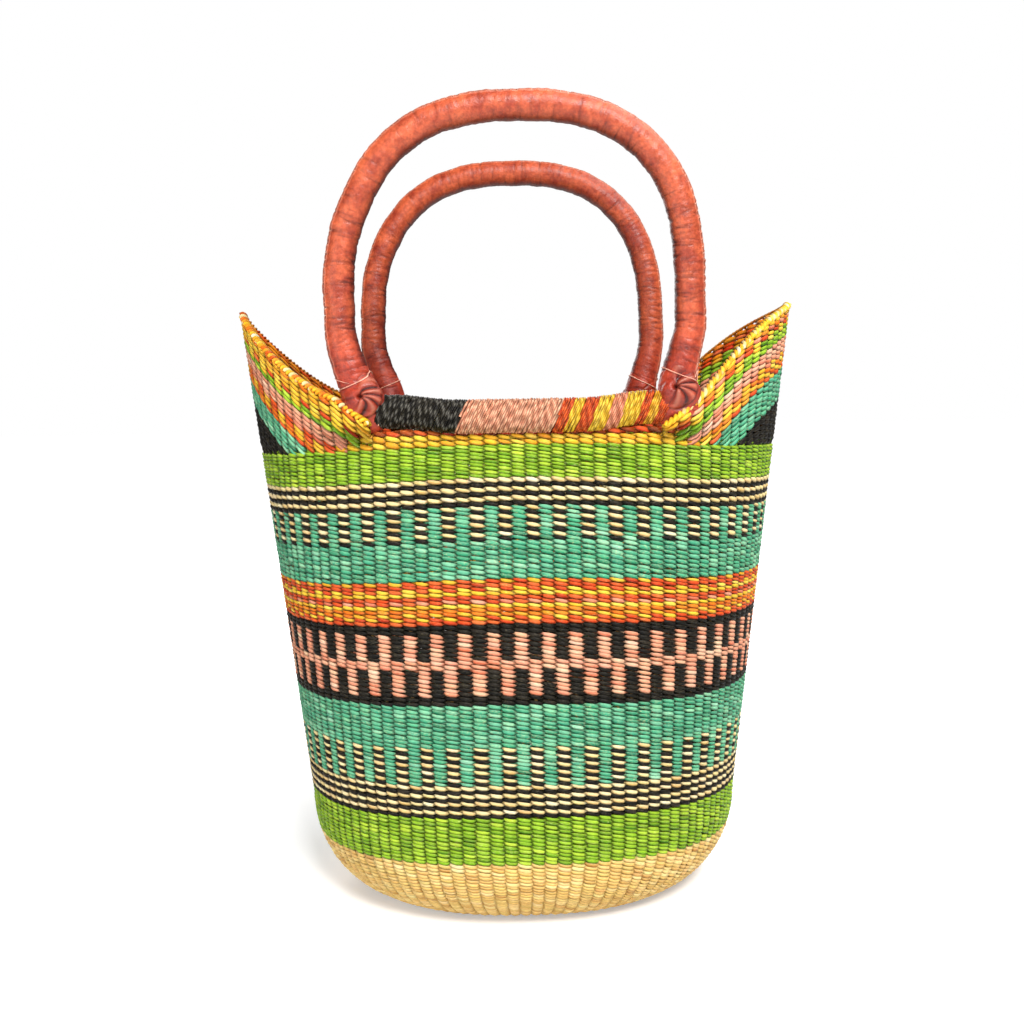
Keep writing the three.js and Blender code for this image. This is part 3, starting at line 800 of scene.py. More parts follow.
def new_group(name: str, inputs: Sequence[str], colours: int) -> tuple[
    NodeSheet, bpy.types.NodeOutputs, bpy.types.NodeInputs,
]:
    """Starts a node group that gives a colour, a roughness and a height.

    Args:
        name: The group's name.
        inputs: The names of its inputs, the colours first.
        colours: How many of the inputs are colours.

    Returns:
        The group's sheet, what it is given and what it gives, by name.
    """
    group = bpy.data.node_groups.new(name, "ShaderNodeTree")
    for k, socket in enumerate(inputs):
        kind = "NodeSocketColor" if k < colours else "NodeSocketFloat"
        group.interface.new_socket(socket, in_out="INPUT", socket_type=kind)
    for socket, kind in (("Color", "Color"), ("Roughness", "Float"), ("Height", "Float")):
        group.interface.new_socket(socket, in_out="OUTPUT", socket_type="NodeSocket" + kind)
    given, result = (group.nodes.new("NodeGroup" + way) for way in ("Input", "Output"))
    return NodeSheet(group), given.outputs, result.inputs


def fibre_group() -> bpy.types.NodeTree:
    """Gives the node group that draws the fibres along each strand.

    Returns:
        The group, built the first time.
    """
    name = "straw_fibres"
    if name in bpy.data.node_groups:
        return bpy.data.node_groups[name]
    sheet, given, result = new_group(name, ("Dye", "Straw", "Pale", "Matt"), 2)
    fibre = sheet.add("Attribute", attribute_name="fibre").outputs["Vector"]
    streaks = sheet.add("TexNoise", Vector=fibre, Scale=4.5, Detail=3.0).outputs["Fac"]
    fine = sheet.add("TexNoise", Vector=fibre, Scale=9.0, Detail=2.0).outputs["Fac"]
    toned = sheet.scaled(given["Dye"], sheet.level(streaks, 0.32, 0.68, 0.74, 1.16))
    share = sheet.times(sheet.level(fine, 0.60, 0.66, 0.0, 1.0), given["Pale"])
    sheet.join(sheet.blend(share, toned, given["Straw"]), result["Color"])
    matt = sheet.level(streaks, 0.3, 0.7, 1.15, 0.85)
    sheet.join(sheet.times(matt, given["Matt"]), result["Roughness"])
    sheet.join(streaks, result["Height"])
    return sheet.tree


def hide_group() -> bpy.types.NodeTree:
    """Gives the node group that draws tanned hide: cloudy colour, pores, painted shade in creases
    and hollows, rubbed places.

    Returns:
        The group, built the first time.
    """
    name = "tanned_hide"
    if name in bpy.data.node_groups:
        return bpy.data.node_groups[name]
    sheet, given, result = new_group(name, ("Dark", "Light", "Shade_and_dark_tone", "Shade_and_wear"), 4)
    place = sheet.add("TexCoord").outputs["Object"]
    clouds = sheet.add("TexNoise", Vector=place, Scale=75.0, Detail=4.0, Roughness=0.62)
    spots = sheet.add("TexNoise", Vector=place, Scale=420.0, Detail=3.0, Roughness=0.6)
    spots = spots.outputs["Fac"]
    pores = sheet.add("TexVoronoi", Vector=place, Scale=1100.0).outputs["Distance"]
    cloudy = sheet.level(clouds.outputs["Fac"], 0.36, 0.64, 0.0, 1.0)
    colour = sheet.blend(cloudy, given["Dark"], given["Light"])
    spotted = sheet.scaled(colour, sheet.level(spots, 0.3, 0.7, 0.76, 1.22))
    shade_and_wear = sheet.add("SeparateColor", Color=given["Shade_and_wear"]).outputs
    folded = sheet.blend(shade_and_wear["Red"], spotted, given["Shade_and_dark_tone"])
    red = sheet.blend(shade_and_wear["Blue"], (1, 1, 1, 1), (0.76, 0.36, 0.38, 1))
    folded = sheet.blend(1.0, folded, red, "MULTIPLY")
    sheet.join(sheet.blend(shade_and_wear["Green"], folded, (0.72, 0.30, 0.18, 1)), result["Color"])
    sheet.join(sheet.level(spots, 0.3, 0.7, 0.34, 0.54), result["Roughness"])
    grain = sheet.add("Math", operation="MULTIPLY_ADD", _0=pores, _1=0.5, _2=spots)
    sheet.join(grain.outputs[0], result["Height"])
    return sheet.tree


def dressed(
    name: str, group: bpy.types.NodeTree, strength: float, shine: float,
) -> tuple[bpy.types.Material, NodeSheet, bpy.types.Node]:
    """Starts a material that takes its colour, roughness and bump from a group.

    Args:
        name: The material's name.
        group: The group.
        strength: The bump's strength.
        shine: The specular level.

    Returns:
        The material, its sheet and the group's node.
    """
    material = bpy.data.materials.new(name)
    material.use_nodes = True
    sheet = NodeSheet(material.node_tree)
    shader = material.node_tree.nodes["Principled BSDF"].inputs
    shader["Specular IOR Level"].default_value = shine
    node = sheet.add("Group", node_tree=group)
    height = node.outputs["Height"]
    bump = sheet.add("Bump", Strength=strength, Distance=BUMP_HEIGHT, Height=height)
    sheet.join(node.outputs["Color"], shader["Base Color"])
    sheet.join(node.outputs["Roughness"], shader["Roughness"])
    sheet.join(bump.outputs["Normal"], shader["Normal"])
    return material, sheet, node


@dataclass(frozen=True)
class Straw:
    """The finish of dyed straw, whose colour comes from each strand's own dye with its painted
    shade and highlights.
    """

    name: str = "straw"
    bump: float = 0.4
    shine: float = 0.14
    matt: float = 0.50
    pale: str = "f4dfa6"

    def make(self) -> bpy.types.Material:
        """Builds the material.

        Returns:
            The material.
        """
        material, sheet, node = dressed(self.name, fibre_group(), self.bump, self.shine)
        # The dye attribute holds the dye with its painted shade and painted highlights.
        dye = sheet.add("Attribute", attribute_name="dye")
        sheet.join(dye.outputs["Color"], node.inputs["Dye"])
        sheet.join(dye.outputs["Alpha"], node.inputs["Pale"])
        node.inputs["Straw"].default_value = (*linear(self.pale), 1)
        node.inputs["Matt"].default_value = self.matt
        return material


@dataclass(frozen=True)
class Hide:
    """The finish of the handles' leather."""

    name: str = "red_hide"
    dark: str = "96361f"
    light: str = "c85c37"
    # The fold colour is what creases, folds, the seam groove and the sleeve's sides and underside
    # darken towards, as painted shade; on the lace it is a darker tone.
    fold: str = "400f08"
    bump: float = 0.8
    shine: float = 0.45

    def make(self) -> bpy.types.Material:
        """Builds the material.

        Returns:
            The material.
        """
        material, sheet, node = dressed(self.name, hide_group(), self.bump, self.shine)
        shade_and_wear = sheet.add("Attribute", attribute_name="shade_and_wear")
        sheet.join(shade_and_wear.outputs["Color"], node.inputs["Shade_and_wear"])
        for socket, shade in (("Dark", self.dark), ("Light", self.light), ("Shade_and_dark_tone", self.fold)):
            node.inputs[socket].default_value = (*linear(shade), 1)
        return material


def finish_piece(
    piece: bpy.types.Object, material: bpy.types.Material, body: str, slot: str, *nodes: str,
) -> None:
    """Dresses a finished piece and says what it rides on and replaces.

    Args:
        piece: The piece.
        material: Its finish.
        body: The body that it moves with.
        slot: The record's material slot; not used.
        nodes: The nodes that it stands for.
    """
    piece.data.materials.append(material)
    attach(piece, body)
    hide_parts(*nodes)
    LOG.info("%s: %d faces", piece.name, len(piece.data.polygons))


@dataclass
class Body:
    """The woven body: the base, the bands, the rows under the rolls and the stakes inside them."""

    loom: Loom
    straw: bpy.types.Material
    base_seed: int = 3
    rim_seed: int = 40
    stake_seed: int = 11
    base_rows: int = 33
    half_from_row: int = 9
    full_from_row: int = 20
    rim_rise: float = 0.0028
    stake_radius: float = 0.00108
    stake_flat: float = 0.8
    stake_sides: int = 6
    base_points: int = 4
    corner_points: int = 10
    wall_points: int = 14
    side_step: float = 0.01
    stake_shade: tuple[float, ...] = (0.28, 0.22, 0.15, 1)
    base_shade_lift: float = 2.4
    shade_lift_end: Pair = (0.050, 0.085)
    inner_reaches: tuple[float, ...] = (0.95, 0.44, 0.72, 0.44)
    ridge_clearance: float = 0.0005
    push_share: float = 0.455
    push_heights: Pair = (0.326, 0.340)
    body: str = "basket"

    def build(self) -> None:
        """Weaves everything below the ears."""
        self.weave_base_and_natural()
        for below, band in zip(BANDS, BANDS[1:]):
            self.weave_band(band, below)
        for name, middle in (("front", 0), ("rear", STAKES // 2)):
            self.weave_rim(name, middle)
        self.lay_stakes()

    def weave_base_and_natural(self) -> None:
        """Weaves the base from its middle outwards, and the natural band round it."""
        form = self.loom.form
        natural = BANDS[0]
        weaver = Weaver(self.loom, self.base_seed)
        total = self.base_rows + len(natural.rows)

        def reach(turn: Array) -> Array:
            """Gives the way from the base's middle to the natural band's top."""
            return form.flat_length(turn) + form.climb_of(natural.top(form, turn))

        def climb_for(row: float) -> Along:
            """Gives the climb of a row that is so many rows from the middle."""
            return lambda turn: reach(turn) * (row + 0.5) / total - form.flat_length(turn)

        def pitch(turn: Array) -> Array:
            """Gives the spacing of the rows at a turn."""
            return reach(turn) / total

        base = Lay()
        for row in range(1, self.base_rows):
            full, half = row >= self.full_from_row, row >= self.half_from_row
            stakes = STAKES if full else STAKES // 2 if half else STAKES // QUARTERS - 1
            width = 1 / (2 * self.base_rows)
            weaver.weave(base, natural.rows[0], climb_for(row), pitch, None, width, stakes)
        finish_piece(base.mesh("base_weave"), self.straw, self.body, "natural_straw", "woven_base")
        wall = Lay()
        width = 1 / (2 * len(natural.rows))
        for row, course in enumerate(natural.rows, self.base_rows):
            weaver.weave(wall, course, climb_for(row), pitch, None, width)
        finish_piece(wall.mesh("natural_weave"), self.straw, self.body, natural.slot, natural.node)

    def weave_band(self, band: Band, below: Band) -> None:
        """Weaves one band.

        Args:
            band: The band.
            below: The band that it stands on.
        """
        form = self.loom.form
        lay = Lay()
        weaver = Weaver(self.loom, sum(map(ord, band.node)))
        count = len(band.rows)

        def low(turn: Array) -> Array:
            """Gives the climb of the band's foot."""
            return form.climb_of(below.top(form, turn))

        def pitch(turn: Array) -> Array:
            """Gives the spacing of the rows."""
            return (form.climb_of(band.top(form, turn)) - low(turn)) / count

        for row, course in enumerate(band.rows):
            weaver.weave(
                lay, course, lambda turn, row=row: low(turn) + pitch(turn) * (row + 0.5),
                pitch, None, 1 / (2 * count),
            )
        piece = lay.mesh(band.node.replace("band", "weave"))
        finish_piece(piece, self.straw, self.body, band.slot, band.node)

    def weave_rim(self, name: str, middle: int) -> None:
        """Weaves the three rows between the green band and a rim roll.

        Args:
            name: Front or rear.
            middle: The stake in its middle.
        """
        form, lay = self.loom.form, Lay()
        weaver = Weaver(self.loom, self.rim_seed + middle)
        places = np.arange(STAKES // QUARTERS)
        reach = int(np.sum(form.share_of(self.loom.turn_at(places)) < form.ear_foot_share)) - 1
        rows = (
            Course(Dye.YELLOW, Dye.GOLD), Course(Dye.YELLOW, Dye.GOLD, True),
            Course(Dye.BROWN, Dye.RED),
        )

        def pitch(turn: Array) -> Array:
            """Gives the spacing of these rows."""
            return (form.rim_height + self.rim_rise - BANDS[-1].top(form, turn)) / len(rows)

        def climb_for(row: int) -> Along:
            """Gives the climb of a row."""
            return lambda turn: form.climb_of(
                BANDS[-1].top(form, turn) + pitch(turn) * (row + 0.5)
            )

        for row, course in enumerate(rows):
            weaver.weave(
                lay, course, climb_for(row), pitch, (middle - reach, middle + reach),
                1 / (2 * len(rows)),
            )
        piece = lay.mesh(f"{name}_rim_weave")
        finish_piece(piece, self.straw, self.body, "gold_straw", f"{name}_rim_band")

    def lay_stakes(self) -> None:
        """Lays the straight straws that all rows are twined round, darkened as painted shade for
        the gaps.
        """
        form, lay = self.loom.form, Lay()
        weaver = Weaver(self.loom, self.stake_seed)
        # Painted shade: the stakes are made much darker and browner than straw so that the gaps
        # between stitches look dark, and lightened again on the base.
        shade = tones(weaver.random, Dye.NATURAL, STAKES) * self.stake_shade
        foot = np.array(form.corner_climb)
        for k in range(STAKES):
            turn = self.loom.turn_at(k + self.loom.stray_at(np.array(float(k))))
            share = form.share_of(turn)
            in_ear = share > form.ear_foot_share
            ridge = form.ridge(turn) - self.ridge_clearance if in_ear else form.rim_height
            top = form.climb_of(ridge)
            start = -form.flat_length(turn) * self.inner_reaches[k % len(self.inner_reaches)]
            climb = np.concatenate([
                np.linspace(start, 0, self.base_points)[:-1],
                np.linspace(0, form.corner_climb, self.corner_points)[:-1],
                np.linspace(form.corner_climb, top, self.wall_points),
            ])
            line = form.place(turn, climb, self.loom.middle_depth)
            if share > self.push_share:
                height = line[:, 2]
                out = form.stand_out(turn, height) * smooth(height, *self.push_heights)
                line[:, 1] += out * form_side(turn)
            beside = form.place(turn + self.side_step, foot, 0.0)
            side = beside - form.place(turn, foot, 0.0)
            rings = tube_rings(
                line, self.stake_radius, self.stake_sides, self.stake_flat,
                np.cross(side, (0, 0, 1)),
            )
            marks = np.repeat(shade[k][None], len(line), axis=0)
            marks[:, :3] *= mix(self.base_shade_lift, 1.0, smooth(climb, *self.shade_lift_end))[:, None]
            lay.add_strand(rings, marks, climb / STITCH_LENGTH, False, 1 / STAKES)
        piece = lay.mesh("standing_straws")
        finish_piece(piece, self.straw, self.body, "twisted_grass", "warp_stakes")


@dataclass
class Ear:
    """A pointed ear: rows that run along its ridge, and the braid that ends them."""

    side: str
    fold: int
    loom: Loom
    straw: bpy.types.Material
    row_pitch: float = 0.0033
    start_share: float = 0.435
    braid_turn: float = 0.0072
    braid_radius: float = 0.00134
    braid_rise: float = 0.0019
    braid_swing: Pair = (0.0014, 0.00115)
    braid_sides: int = 8
    sections_per_turn: int = 14
    braid_strips: int = 3
    braid_samples: int = 1200
    braid_shades: Pair = (0.66, 0.34)
    usual_share: float = 0.6
    rear_size: float = 0.6
    tip_swell: float = 0.25
    tip_start: float = 0.95
    widest: float = 1.2
    first_row: float = 0.45
    floor_rise: float = 0.15
    rim_clearance: float = 0.0005
    under_rise: float = 0.0010
    under_inset: float = 0.0013
    under_spacing: float = 0.75
    row_spread: float = 1.06
    fade_in: float = 0.02
    past_fold: float = 0.001
    rear_shade: tuple[float, float, float] = (0.92, 0.52, 0.26)
    body: str = "basket"

    def __post_init__(self) -> None:
        """Calls the weaver, whose draws start with the stake at the fold."""
        self.weaver = Weaver(self.loom, self.fold)

    def stripes(self) -> tuple[tuple[str, tuple[Course, ...]], ...]:
        """Lists the stripes from the ridge down, each with its rows from the top down.

        Returns:
            The name and rows of each stripe.
        """
        mixed = Course(Dye.RED, Dye.YELLOW)
        gold = (
            Course(Dye.ORANGE, Dye.YELLOW), Course(Dye.YELLOW, Dye.GOLD),
            Course(Dye.GOLD, Dye.YELLOW),
        )
        green = (Course(Dye.LIME, Dye.YELLOW), Course(Dye.LIME, Dye.LIME))
        pink = tuple(plain(Dye.SALMON, 3))
        orange = (
            Course(Dye.RED, Dye.BLUSH), mixed, Course(Dye.ORANGE, Dye.GOLD),
            Course(Dye.ORANGE, Dye.RED),
        )
        golden = (
            Course(Dye.GOLD, Dye.BLUSH), Course(Dye.YELLOW, Dye.ORANGE),
            Course(Dye.ORANGE, Dye.GOLD), Course(Dye.GOLD, Dye.RED),
        )
        if self.side == "left":
            return (
                ("gold", gold + (mixed,)), ("green", green), ("pink", pink), ("orange", orange),
                ("teal", tuple(plain(Dye.TEAL, 5))), ("black", tuple(plain(Dye.BLACK, 12))),
            )
        return (
            ("gold", (gold[1], Course(Dye.ORANGE, Dye.BLUSH), mixed)),
            ("green", green + (green[1],)), ("pink", pink), ("orange", golden),
            ("teal", tuple(plain(Dye.TEAL, 7))), ("black", tuple(plain(Dye.BLACK, 10))),
        )

    def tint(self, turn: Array) -> Array:
        """Darkens the rows near the ridge on the rear side, which lies in shadow: painted shade."""
        rear = np.clip(form_side(turn), 0, 1)[:, None]
        return mix(1.0, np.array(self.rear_shade), rear)

    def reach(self, below: float, way: int) -> int:
        """Counts the stakes on one side of the fold that a row crosses.

        Args:
            below: How far the row is below the ridge.
            way: -1 for the side with lower stakes, 1 for the other.

        Returns:
            The number of stakes, or -1 where the row has no room.
        """
        form = self.loom.form
        places = np.arange(STAKES // QUARTERS)
        turn = self.loom.turn_at(self.fold + way * (places + self.past_fold))
        share = form.share_of(turn)
        green = BANDS[-1].top(form, turn) + self.row_pitch * self.floor_rise
        inside = smooth(share, self.start_share + self.fade_in, form.ear_foot_share)
        floor = mix(form.rim_height + self.rim_clearance, green, inside)
        room = (form.ridge(turn) - below > floor) & (share > self.start_share)
        return int(np.argmin(np.append(room, False))) - 1

    def build(self) -> None:
        """Weaves the stripes from the ridge down, and then the braid."""
        below = self.row_pitch * self.first_row
        for name, rows in self.stripes():
            lay, width = Lay(), 1 / (2 * len(rows))
            for course in rows:
                self.weave_row(lay, course, below, width, name == "gold")
                below += self.row_pitch
            if name == "green":
                self.weave_under(lay, rows[-1], width)
            finish_piece(
                lay.mesh(f"{self.side}_ear_{name}_weave"), self.straw, self.body,
                f"{name}_straw", f"{self.side}_ear_{name}_stripe",
            )
        self.braid()

    def weave_row(
        self, lay: Lay, course: Course, below: float, width: float, top: bool,
    ) -> None:
        """Weaves one row along the ridge.

        Args:
            lay: Where the strands go.
            course: The row's dyes.
            below: How far the row is below the ridge.
            width: How much of the bake map's height each strand takes.
            top: Whether it is one of the rows next to the ridge.
        """
        form = self.loom.form
        before, after = (self.reach(below, way) for way in (-1, 1))
        if min(before, after) < 1:
            return

        def climb(turn: Array) -> Array:
            """Gives the row's climb."""
            return form.climb_of(form.ridge(turn) - below)

        self.weaver.weave(
            lay, course, climb, lambda turn: np.full_like(turn, self.row_pitch * self.row_spread),
            (self.fold - before, self.fold + after), width,
            push=lambda turn: form.stand_out(turn, form.ridge(turn) - below),
            tint=self.tint if top else None,
        )

    def weave_under(self, lay: Lay, course: Course, width: float) -> None:
        """Weaves the two rows that close the corners between the sloping rows and the green band.

        Args:
            lay: Where the strands go.
            course: The rows' dyes.
            width: How much of the bake map's height each strand takes.
        """
        form, depth = self.loom.form, self.row_pitch * 2
        span = (self.fold - self.reach(depth, -1), self.fold + self.reach(depth, 1))

        def climb_at(height: float) -> Along:
            """Gives the climb of a row so far above the green band."""
            return lambda turn: form.climb_of(BANDS[-1].top(form, turn) + height)

        for step in range(2):
            self.weaver.weave(
                lay, course, climb_at(self.under_rise + step * self.row_pitch * self.under_spacing),
                lambda turn: np.full_like(turn, self.row_pitch), span, width,
                inset=self.under_inset,
            )

    def braid(self) -> None:
        """Winds the two-strand edge along the ridge."""
        form, lay, inner = self.loom.form, Lay(), self.loom.middle_depth
        before, after = (self.reach(0.0, way) + 0.5 for way in (-1, 1))
        stakes = np.linspace(self.fold - before, self.fold + after, self.braid_samples)
        turn = self.loom.turn_at(stakes)
        height = form.ridge(turn) + self.braid_rise
        walked = walk(form.place(turn, form.climb_of(height), inner))
        sections = int(walked[-1] / self.braid_turn * self.sections_per_turn)
        even = np.linspace(0, walked[-1], sections)
        turn = np.interp(even, walked, turn)
        height = form.ridge(turn) + self.braid_rise
        size = mix(1.0, self.rear_size, np.clip(form_side(turn), 0, 1))
        size = size + self.tip_swell * smooth(form.share_of(turn), self.tip_start, 1.0)
        radius = self.braid_radius * np.minimum(size, self.widest)
        pale = ((Dye.CREAM, Dye.YELLOW), (Dye.YELLOW, Dye.GOLD))
        warm = ((Dye.GOLD, Dye.CREAM), (Dye.YELLOW, Dye.ORANGE))
        for strand, dyes in enumerate(warm if self.side == "left" else pale):
            angle = even / self.braid_turn * 2 * math.pi + strand * math.pi
            depth = inner - self.braid_swing[0] * size * np.cos(angle)
            rise = self.braid_swing[1] * size * np.sin(angle)
            points = form.place(turn, form.climb_of(height + rise), depth)
            points[:, 1] += form.stand_out(turn, height) * form_side(turn)
            turns = np.floor(angle / (2 * math.pi)).astype(int)
            count = turns.max() + 1
            usual = self.weaver.random.random((count, 1)) < self.usual_share
            shade = np.where(usual, *(tones(self.weaver.random, dye, count) for dye in dyes))
            marks = shade[turns]
            # Painted shade: each strand is darker where it turns in behind the other, and the rear
            # side's painted shade is added.
            light = self.braid_shades[0] + self.braid_shades[1] * np.cos(angle)
            marks[:, :3] *= light[:, None] * self.tint(turn)
            lay.add_strand(
                tube_rings(points, radius, self.braid_sides), marks, even / STITCH_LENGTH, False,
                1 / (2 * self.braid_strips + 2), sections // self.braid_strips,
            )
        finish_piece(
            lay.mesh(f"{self.side}_ear_edge"), self.straw, self.body, "gold_straw",
            f"{self.side}_ear_braid",
        )


@dataclass
class RimRoll:
    """A rim roll: a bundle of grass wound with fine straw in three lengths of colour."""

    name: str
    turned: int
    shift: float
    straw: bpy.types.Material
    glossy: bpy.types.Material
    seed: int = 5
    bow: float = 0.007
    sag: float = 0.004
    bend_start: float = 0.038
    bend_end: float = 0.084
    core_radius: float = 0.0078
    half_length: float = 0.111
    winding_radius: float = 0.01025
    strand_radius: float = 0.00100
    strand_sides: int = 6
    strand_flat: float = 0.9
    pitch: float = 0.00142
    slant: float = 0.0050
    slant_swing: float = 0.07
    lift_swing: float = 0.00020
    side_swing: float = 0.00014
    steps: int = 32
    turns_per_strip: int = 3
    stitches_per_turn: float = 10.5
    plies: float = 8.37
    ply_swing: float = 1.1
    ply_depth: float = 0.07
    ply_shades: Pair = (0.86, 0.30)
    groove_shade: float = 0.16
    groove_power: float = 1.6
    wound_shade: float = 0.78
    tone_share: float = 0.45
    gleam: float = 0.42
    gleam_start: float = 0.45
    dark_gleam: str = "8c887e"
    grass_seed: int = 1
    grass_strands: int = 7
    grass_sections: int = 60
    grass_sides: int = 8
    grass_half_twist: float = 0.05
    grass_offset: float = 0.66
    grass_size: float = 0.34
    body: str = "basket"

    def middle(self, x: Array) -> Array:
        """Gives the roll's middle line in its own frame, whose origin is on the swing axis."""
        bend = smooth(np.abs(x), self.bend_start, self.bend_end)
        return np.stack([x, -self.bow * (1 - bend), -self.sag * (1 - bend)], axis=-1)

    def set_in_place(self, points: Array) -> Array:
        """Brings points from the roll's own frame to the basket's."""
        way = -1.0 if self.turned else 1.0
        return points * (way, way, 1) + (self.shift, -way * AXIS_OFFSET, AXIS_HEIGHT)

    def build(self) -> None:
        """Makes the bundle and its three windings."""
        random = np.random.default_rng(self.seed + self.turned)
        self.bundle()
        flame = (
            (0.0297, Dye.RED), (0.0373, Dye.YELLOW), (0.0467, Dye.RED), (0.0555, Dye.YELLOW),
            (0.0643, Dye.BLUSH), (0.0757, Dye.YELLOW), (0.082, Dye.RED), (0.088, Dye.GOLD),
            (1, Dye.RED),
        )
        for name, start, end, dyes in (
            ("black", -0.0925, -0.0385, ((1, Dye.BLACK),)),
            ("pink", -0.0385, 0.023, ((1, Dye.SALMON),)),
            ("flame", 0.023, 0.0935, flame),
        ):
            self.wind(random, name, start, end, dyes)

    def wind(
        self, random: np.random.Generator, name: str, start: float, end: float,
        dyes: Sequence[tuple[float, Dye]],
    ) -> None:
        """Winds one length of straw, darkened as painted shade, with painted shade in its grooves
        and painted glints on its plies.

        Args:
            random: The run of random draws.
            name: The winding's name.
            start: Where it starts along the roll.
            end: Where it ends.
            dyes: Where each dye ends.
        """
        turns = int((end - start) / self.pitch)
        angle = np.arange(turns * self.steps + 1) / self.steps * 2 * math.pi
        lap = angle / (2 * math.pi)

        def wander(per_turn: int, mean: float, swing: float) -> Array:
            """Draws a value that wanders along the winding, so many times in a turn."""
            count = per_turn * turns + 2
            return np.interp(lap * per_turn, np.arange(count), random.normal(mean, swing, count))

        lean = wander(1, 1, self.slant_swing)
        lift = wander(2, 0, self.lift_swing)
        stray = wander(1, 0, self.side_swing)
        x = start + (end - start) * lap / turns + self.slant * lean * np.sin(angle) + stray
        out = np.stack([np.zeros_like(angle), -np.cos(angle), np.sin(angle)], axis=-1)
        line = self.middle(x) + out * (self.winding_radius + lift)[:, None]
        owner = np.floor(lap).astype(int)
        front = start + (end - start) * (owner + 0.5) / turns
        twist = np.sin(lap * 2 * math.pi * self.plies + wander(2, 0, self.ply_swing))
        # Painted glints on the plies' crests, grey-white on black straw.
        shine = self.gleam * smooth(twist, self.gleam_start, 1.0)[:, None]
        marks, deep = np.zeros((len(angle), 4)), np.zeros((len(angle), 3))
        low = -1.0
        for edge, dye in dyes:
            inside = (front > low) & (front <= edge)
            own, dark, light, _ = dye.shades()
            toned = tones(random, dye, turns + 1)[owner]
            # Painted shade: the whole winding is darkened, and its grooves take the dye's dark
            # shade, darkened further.
            toned[:, :3] = mix(own, toned[:, :3], self.tone_share) * self.wound_shade
            gleam = linear(self.dark_gleam) if dye is Dye.BLACK else light
            toned[:, :3] = mix(toned[:, :3], gleam, shine)
            marks[inside] = toned[inside]
            deep[inside] = dark * self.groove_shade
            low = edge
        radius = self.strand_radius * (1 + self.ply_depth * twist)
        rings = tube_rings(
            self.set_in_place(line), radius, self.strand_sides, self.strand_flat, (1, 0, 0),
        )
        marks = np.repeat(marks[:, None], self.strand_sides, axis=1)
        # Painted shade: darker in the grooves between turns and between the plies.
        ridge = np.abs(np.cos(np.arange(self.strand_sides) * 2 * math.pi / self.strand_sides))
        ridge = ridge[None, :, None] ** self.groove_power
        marks[..., :3] = mix(deep[:, None], marks[..., :3], ridge)
        marks[..., :3] *= (self.ply_shades[0] + self.ply_shades[1] * twist)[:, None, None]
        lay, strip = Lay(), self.steps * self.turns_per_strip
        strips = math.ceil(len(angle) / strip)
        lay.add_strand(rings, marks, lap * self.stitches_per_turn, False, 1 / strips, strip)
        finish_piece(
            lay.mesh(f"{self.name}_{name}_wrap"), self.glossy, self.body, f"{name}_straw",
            f"{self.name}_{name}_winding",
        )

    def bundle(self) -> None:
        """Twists the grass inside the windings."""
        lay = Lay()
        x = np.linspace(-self.half_length, self.half_length, self.grass_sections)
        random = np.random.default_rng(self.grass_seed)
        outer = self.grass_strands - 1
        for strand in range(self.grass_strands):
            angle = x / self.grass_half_twist * math.pi + strand * 2 * math.pi / outer
            away = 0.0 if strand == outer else self.core_radius * self.grass_offset
            out = np.stack([0 * x, np.cos(angle), np.sin(angle)], axis=-1) * away
            marks = np.repeat(tones(random, Dye.NATURAL, 1), len(x), axis=0)
            line = self.set_in_place(self.middle(x) + out)
            rings = tube_rings(line, self.core_radius * self.grass_size, self.grass_sides)
            lay.add_strand(rings, marks, x / STITCH_LENGTH, False, 1 / self.grass_strands)
        finish_piece(
            lay.mesh(f"{self.name}_grass_bundle"), self.straw, self.body, "twisted_grass",
            f"{self.name}_roll_core",
        )


@dataclass(frozen=True)
class Sleeve:
    """How the leather lies round a handle: its hollows, creases, seam and raised lips."""

    length: float = 0.60
    near_sides: int = 19
    far_sides: int = 50
    foot_swell: float = 0.0013
    swell_heights: Pair = (0.352, 0.392)
    ripples: tuple[Pair, ...] = (
        (0.00026, 0.034), (0.00010, 0.009), (0.00010, 0.0045),
    )
    flat_depth: float = 0.0003
    flat_length: float = 0.021
    flat_width: float = 0.85
    creases: int = 420
    leg_share: float = 0.72
    leg_places: Pair = (0.0, 0.14)
    arch_places: Pair = (0.12, 0.30)
    arch_strength: float = 0.75
    crease_strengths: Pair = (0.3, 1.0)
    crease_widths: Pair = (0.0004, 0.0010)
    crease_reaches: Pair = (0.25, 1.1)
    crease_slope: float = 0.0016
    crease_bow: float = 0.0008
    crease_depth: float = 0.00052
    seam_half_angle: float = 0.30
    seam_limit: float = 0.31
    seam_width: float = 0.00055
    seam_depth: float = 0.0011
    lip_offset: float = 0.0013
    lip_rise: float = 0.00050
    lip_wear: float = 0.35
    wobble: float = 0.0002
    wobble_length: float = 0.011
    # Painted shade in the creases and the seam groove, on the sides seen edge-on and underneath.
    crease_shade: float = 0.78
    seam_shade: float = 0.95
    rim_shade: float = 0.45
    rim_start: float = 0.72
    under_shade: float = 0.34
    under_width: float = 0.75


@dataclass(frozen=True)
class Lacing:
    """The thin lace along a handle's seam."""

    stitches: int = 108
    margin: float = 0.022
    half_angle: float = 0.19
    slope: float = 1.1
    shades: Pair = (0.0, 0.25)
    lift: float = 0.00020
    dip: float = 0.0009
    radius: float = 0.00026
    points: int = 6
    sides: int = 5


@dataclass(frozen=True)
class Lump:
    """A rounded lump of a gathered foot: its place from the leg's middle, and its half sizes."""

    place: tuple[float, float, float]
    size: tuple[float, float, float]
    inwards: float = 0.0


